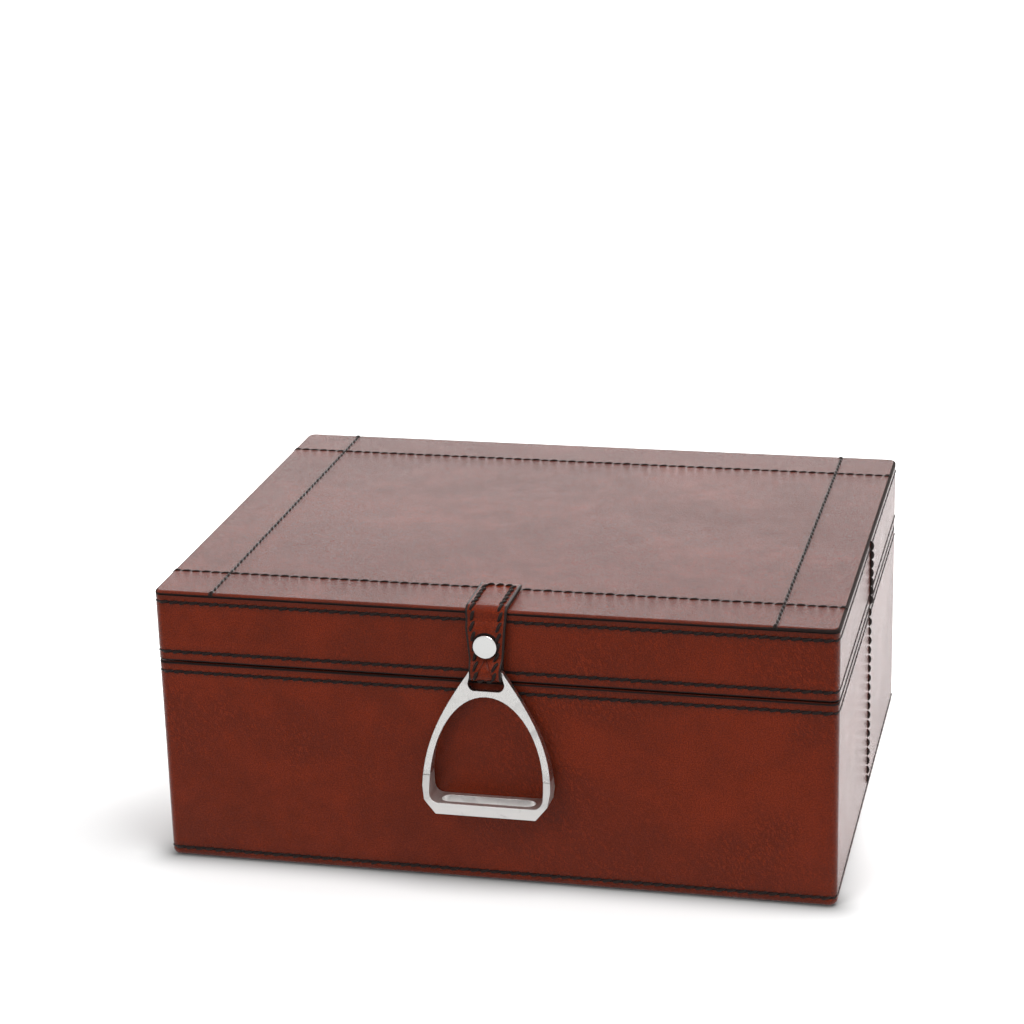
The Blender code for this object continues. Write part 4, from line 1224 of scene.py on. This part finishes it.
def set_world():
    """White for the rays that see it, dimmer as a lamp, and dark behind the camera for reflections."""
    world = bpy.context.scene.world or bpy.data.worlds.new("Studio")
    bpy.context.scene.world = world
    world.use_nodes = True
    tree = world.node_tree
    tree.nodes.clear()
    camera, glossy, through = light_paths(tree)
    seen = camera.reckon("MAXIMUM", glossy).reckon("MAXIMUM", through)
    way = separated(Signal(tree.nodes.new("ShaderNodeTexCoord").outputs["Generated"]))[1]
    mirrored = glossy * way.remap(-0.75, -0.25, 0.7, 1.0) + (1.0 - glossy)
    strength = seen * mirrored + (1.0 - seen) * 0.55
    back = wire(tree, "ShaderNodeBackground", [("Color", (1, 1, 1, 1)), ("Strength", strength)])
    feed(tree.nodes.new("ShaderNodeOutputWorld"), [(0, back[0])])


def set_floor():
    """A plain pale floor that keeps the box's shadow."""
    drop_selection()
    bpy.ops.mesh.primitive_plane_add(size=24, location=(0, 0, -0.00002))
    floor = settle("studio_floor")
    material, shader, place = new_finish("studio_floor", Roughness=0.9, Specular_IOR_Level=0.0)
    camera, glossy, _ = light_paths(place.tree)
    across, depth, _ = separated(place)
    beside = [(abs(way) - (half - 0.003)).reckon("MAXIMUM", 0.0)
              for way, half in ((across, HALF_X), (depth, HALF_Y))]
    near = (beside[0] * beside[0] + beside[1] * beside[1]).reckon("SQRT")
    # Painted contact shadow: the floor darkens near the box's foot, most along its front
    foot = near.remap(0.0, 0.026, 1.0, 0.0, smooth=False).reckon("POWER", 2.2)
    floor_with_painted_shadow = 1.0 - foot * depth.remap(-HALF_Y, -HALF_Y + 0.025, 0.74, 0.3)
    # Painted reflection: for glossy rays the floor is darker in front and paler towards the back; other rays
    # carry the painted contact shadow
    tone = glossy * depth.remap(-0.26, -0.08, 0.48, 0.95) + (1.0 - glossy) * (floor_with_painted_shadow * 0.66)
    grey = wire(place.tree, "ShaderNodeCombineColor", [(0, tone), (1, tone), (2, tone)])[0]
    # Painted reflection: for glossy rays the floor glows more towards the back
    lift = glossy * depth.remap(-0.165, -0.01, 0.10, 0.70)
    # Painted light: for camera rays the floor glows more towards the back, which fades the box's shadow there
    glow = camera * (floor_with_painted_shadow * depth.remap(-0.15, 0.06, 0.10, 0.85))
    feed(shader, [("Base Color", grey), ("Emission Color", (1, 1, 1, 1)), ("Emission Strength", lift + glow)])
    floor.data.materials.append(material)


def set_camera():
    yaw, pitch, roll = (math.radians(a) for a in CAMERA_TURNS)
    ahead = Vector((-math.sin(yaw) * math.cos(pitch), math.cos(yaw) * math.cos(pitch), -math.sin(pitch)))
    level = Vector((math.cos(yaw), math.sin(yaw), 0))
    raised = level.cross(ahead)
    right = math.cos(roll) * level + math.sin(roll) * raised
    up = -math.sin(roll) * level + math.cos(roll) * raised
    data = bpy.data.cameras.new("camera")
    data.sensor_width, data.lens = 36, CAMERA_LENS
    data.clip_start, data.clip_end = 0.05, 60
    camera = show(bpy.data.objects.new("camera", data))
    turn = Matrix((right, up, -ahead)).transposed()
    camera.matrix_world = Matrix.Translation(CAMERA_PLACE) @ turn.to_4x4()
    bpy.context.scene.camera = camera


def build_stage():
    set_world()
    set_floor()
    key = add_light("key_light", (-1.3, -2.4, 1.9), (0, 0, 0.1), 1.5, 58)
    key.visible_glossy = False
    add_light("top_light", (0.9, -0.35, 2.3), (0, 0, 0), 1.7, 58)
    card = add_light("back_card", (-0.7, 3.9, 1.45), (0, 0, 0.1), 3.0, 38)
    card.data.shape, card.data.size_y = "RECTANGLE", 2.6
    set_camera()
    bpy.context.scene.view_settings.view_transform = "Standard"


# Operators and panel

def piece_operator(name, label, note, *builds):
    """An operator that makes one piece or group of like pieces."""
    def execute(self, context):
        for build in builds:
            build()
        return {"FINISHED"}

    return type("LEATHERBOX_OT_" + name, (bpy.types.Operator,),
                {"__doc__": note, "bl_idname": "leatherbox." + name, "bl_label": label, "execute": execute})


OPERATORS = [piece_operator(*row) for row in (
    ("base_hides", "Base hides", "Model the two hides that wrap the base", model_base_hides),
    ("lid_hides", "Lid hides", "Model the two hides that wrap the lid", model_lid_hides),
    ("lid_sheet", "Lid sheet", "Model the sheet of hide on top of the lid", model_lid_sheet),
    ("rims", "Rim strips", "Model the rim strips of base and lid", model_rims),
    ("linings", "Linings", "Model the suede linings", model_linings),
    ("pad", "Felt pad", "Model the felt pad under the base", model_pad),
    ("strap", "Pull strap", "Model the pull strap", model_strap),
    ("stitching", "Stitching", "Stitch the walls, the lid sheet and the strap",
     model_wall_stitching, model_sheet_stitching, model_strap_stitching),
    ("boards", "Boards", "Give the boards their wood", dress_boards),
    ("hinges", "Hinges", "Finish the hinges, their pins and screws", model_hinges),
    ("stud", "Stud", "Model the strap's capped stud", model_stud),
    ("stirrup", "Stirrup", "Finish the stirrup", model_stirrup),
    ("stage", "Stage", "Set the floor, the lights, the world and the camera", build_stage),
)]


class LEATHERBOX_PT_panel(bpy.types.Panel):
    """The box's pieces, sizes and colours in the sidebar"""

    bl_idname = "LEATHERBOX_PT_panel"
    bl_label = "Leather Box"
    bl_space_type = "VIEW_3D"
    bl_region_type = "UI"
    bl_category = "Leather Box"

    def draw(self, context):
        for group in (sizes(), stitches(), colours()):
            for name in group.__annotations__:
                self.layout.prop(group, name)
        for operator in OPERATORS:
            self.layout.operator(operator.bl_idname)


GROUPS = {"leather_box_sizes": BoxSizes, "leather_box_stitches": StitchSizes,
          "leather_box_colours": BoxColours}
CLASSES = (*GROUPS.values(), *OPERATORS, LEATHERBOX_PT_panel)


def register():
    for item in CLASSES:
        bpy.utils.register_class(item)
    for name, group in GROUPS.items():
        setattr(bpy.types.Scene, name, PointerProperty(type=group))


def unregister():
    for name in GROUPS:
        delattr(bpy.types.Scene, name)
    for item in reversed(CLASSES):
        bpy.utils.unregister_class(item)


def main():
    """Build every piece and the stage, and write the two boxes of sizes."""
    register()
    for operator in OPERATORS:
        group, name = operator.bl_idname.split(".")
        getattr(getattr(bpy.ops, group), name)()


if __name__ == "__main__":
    main()
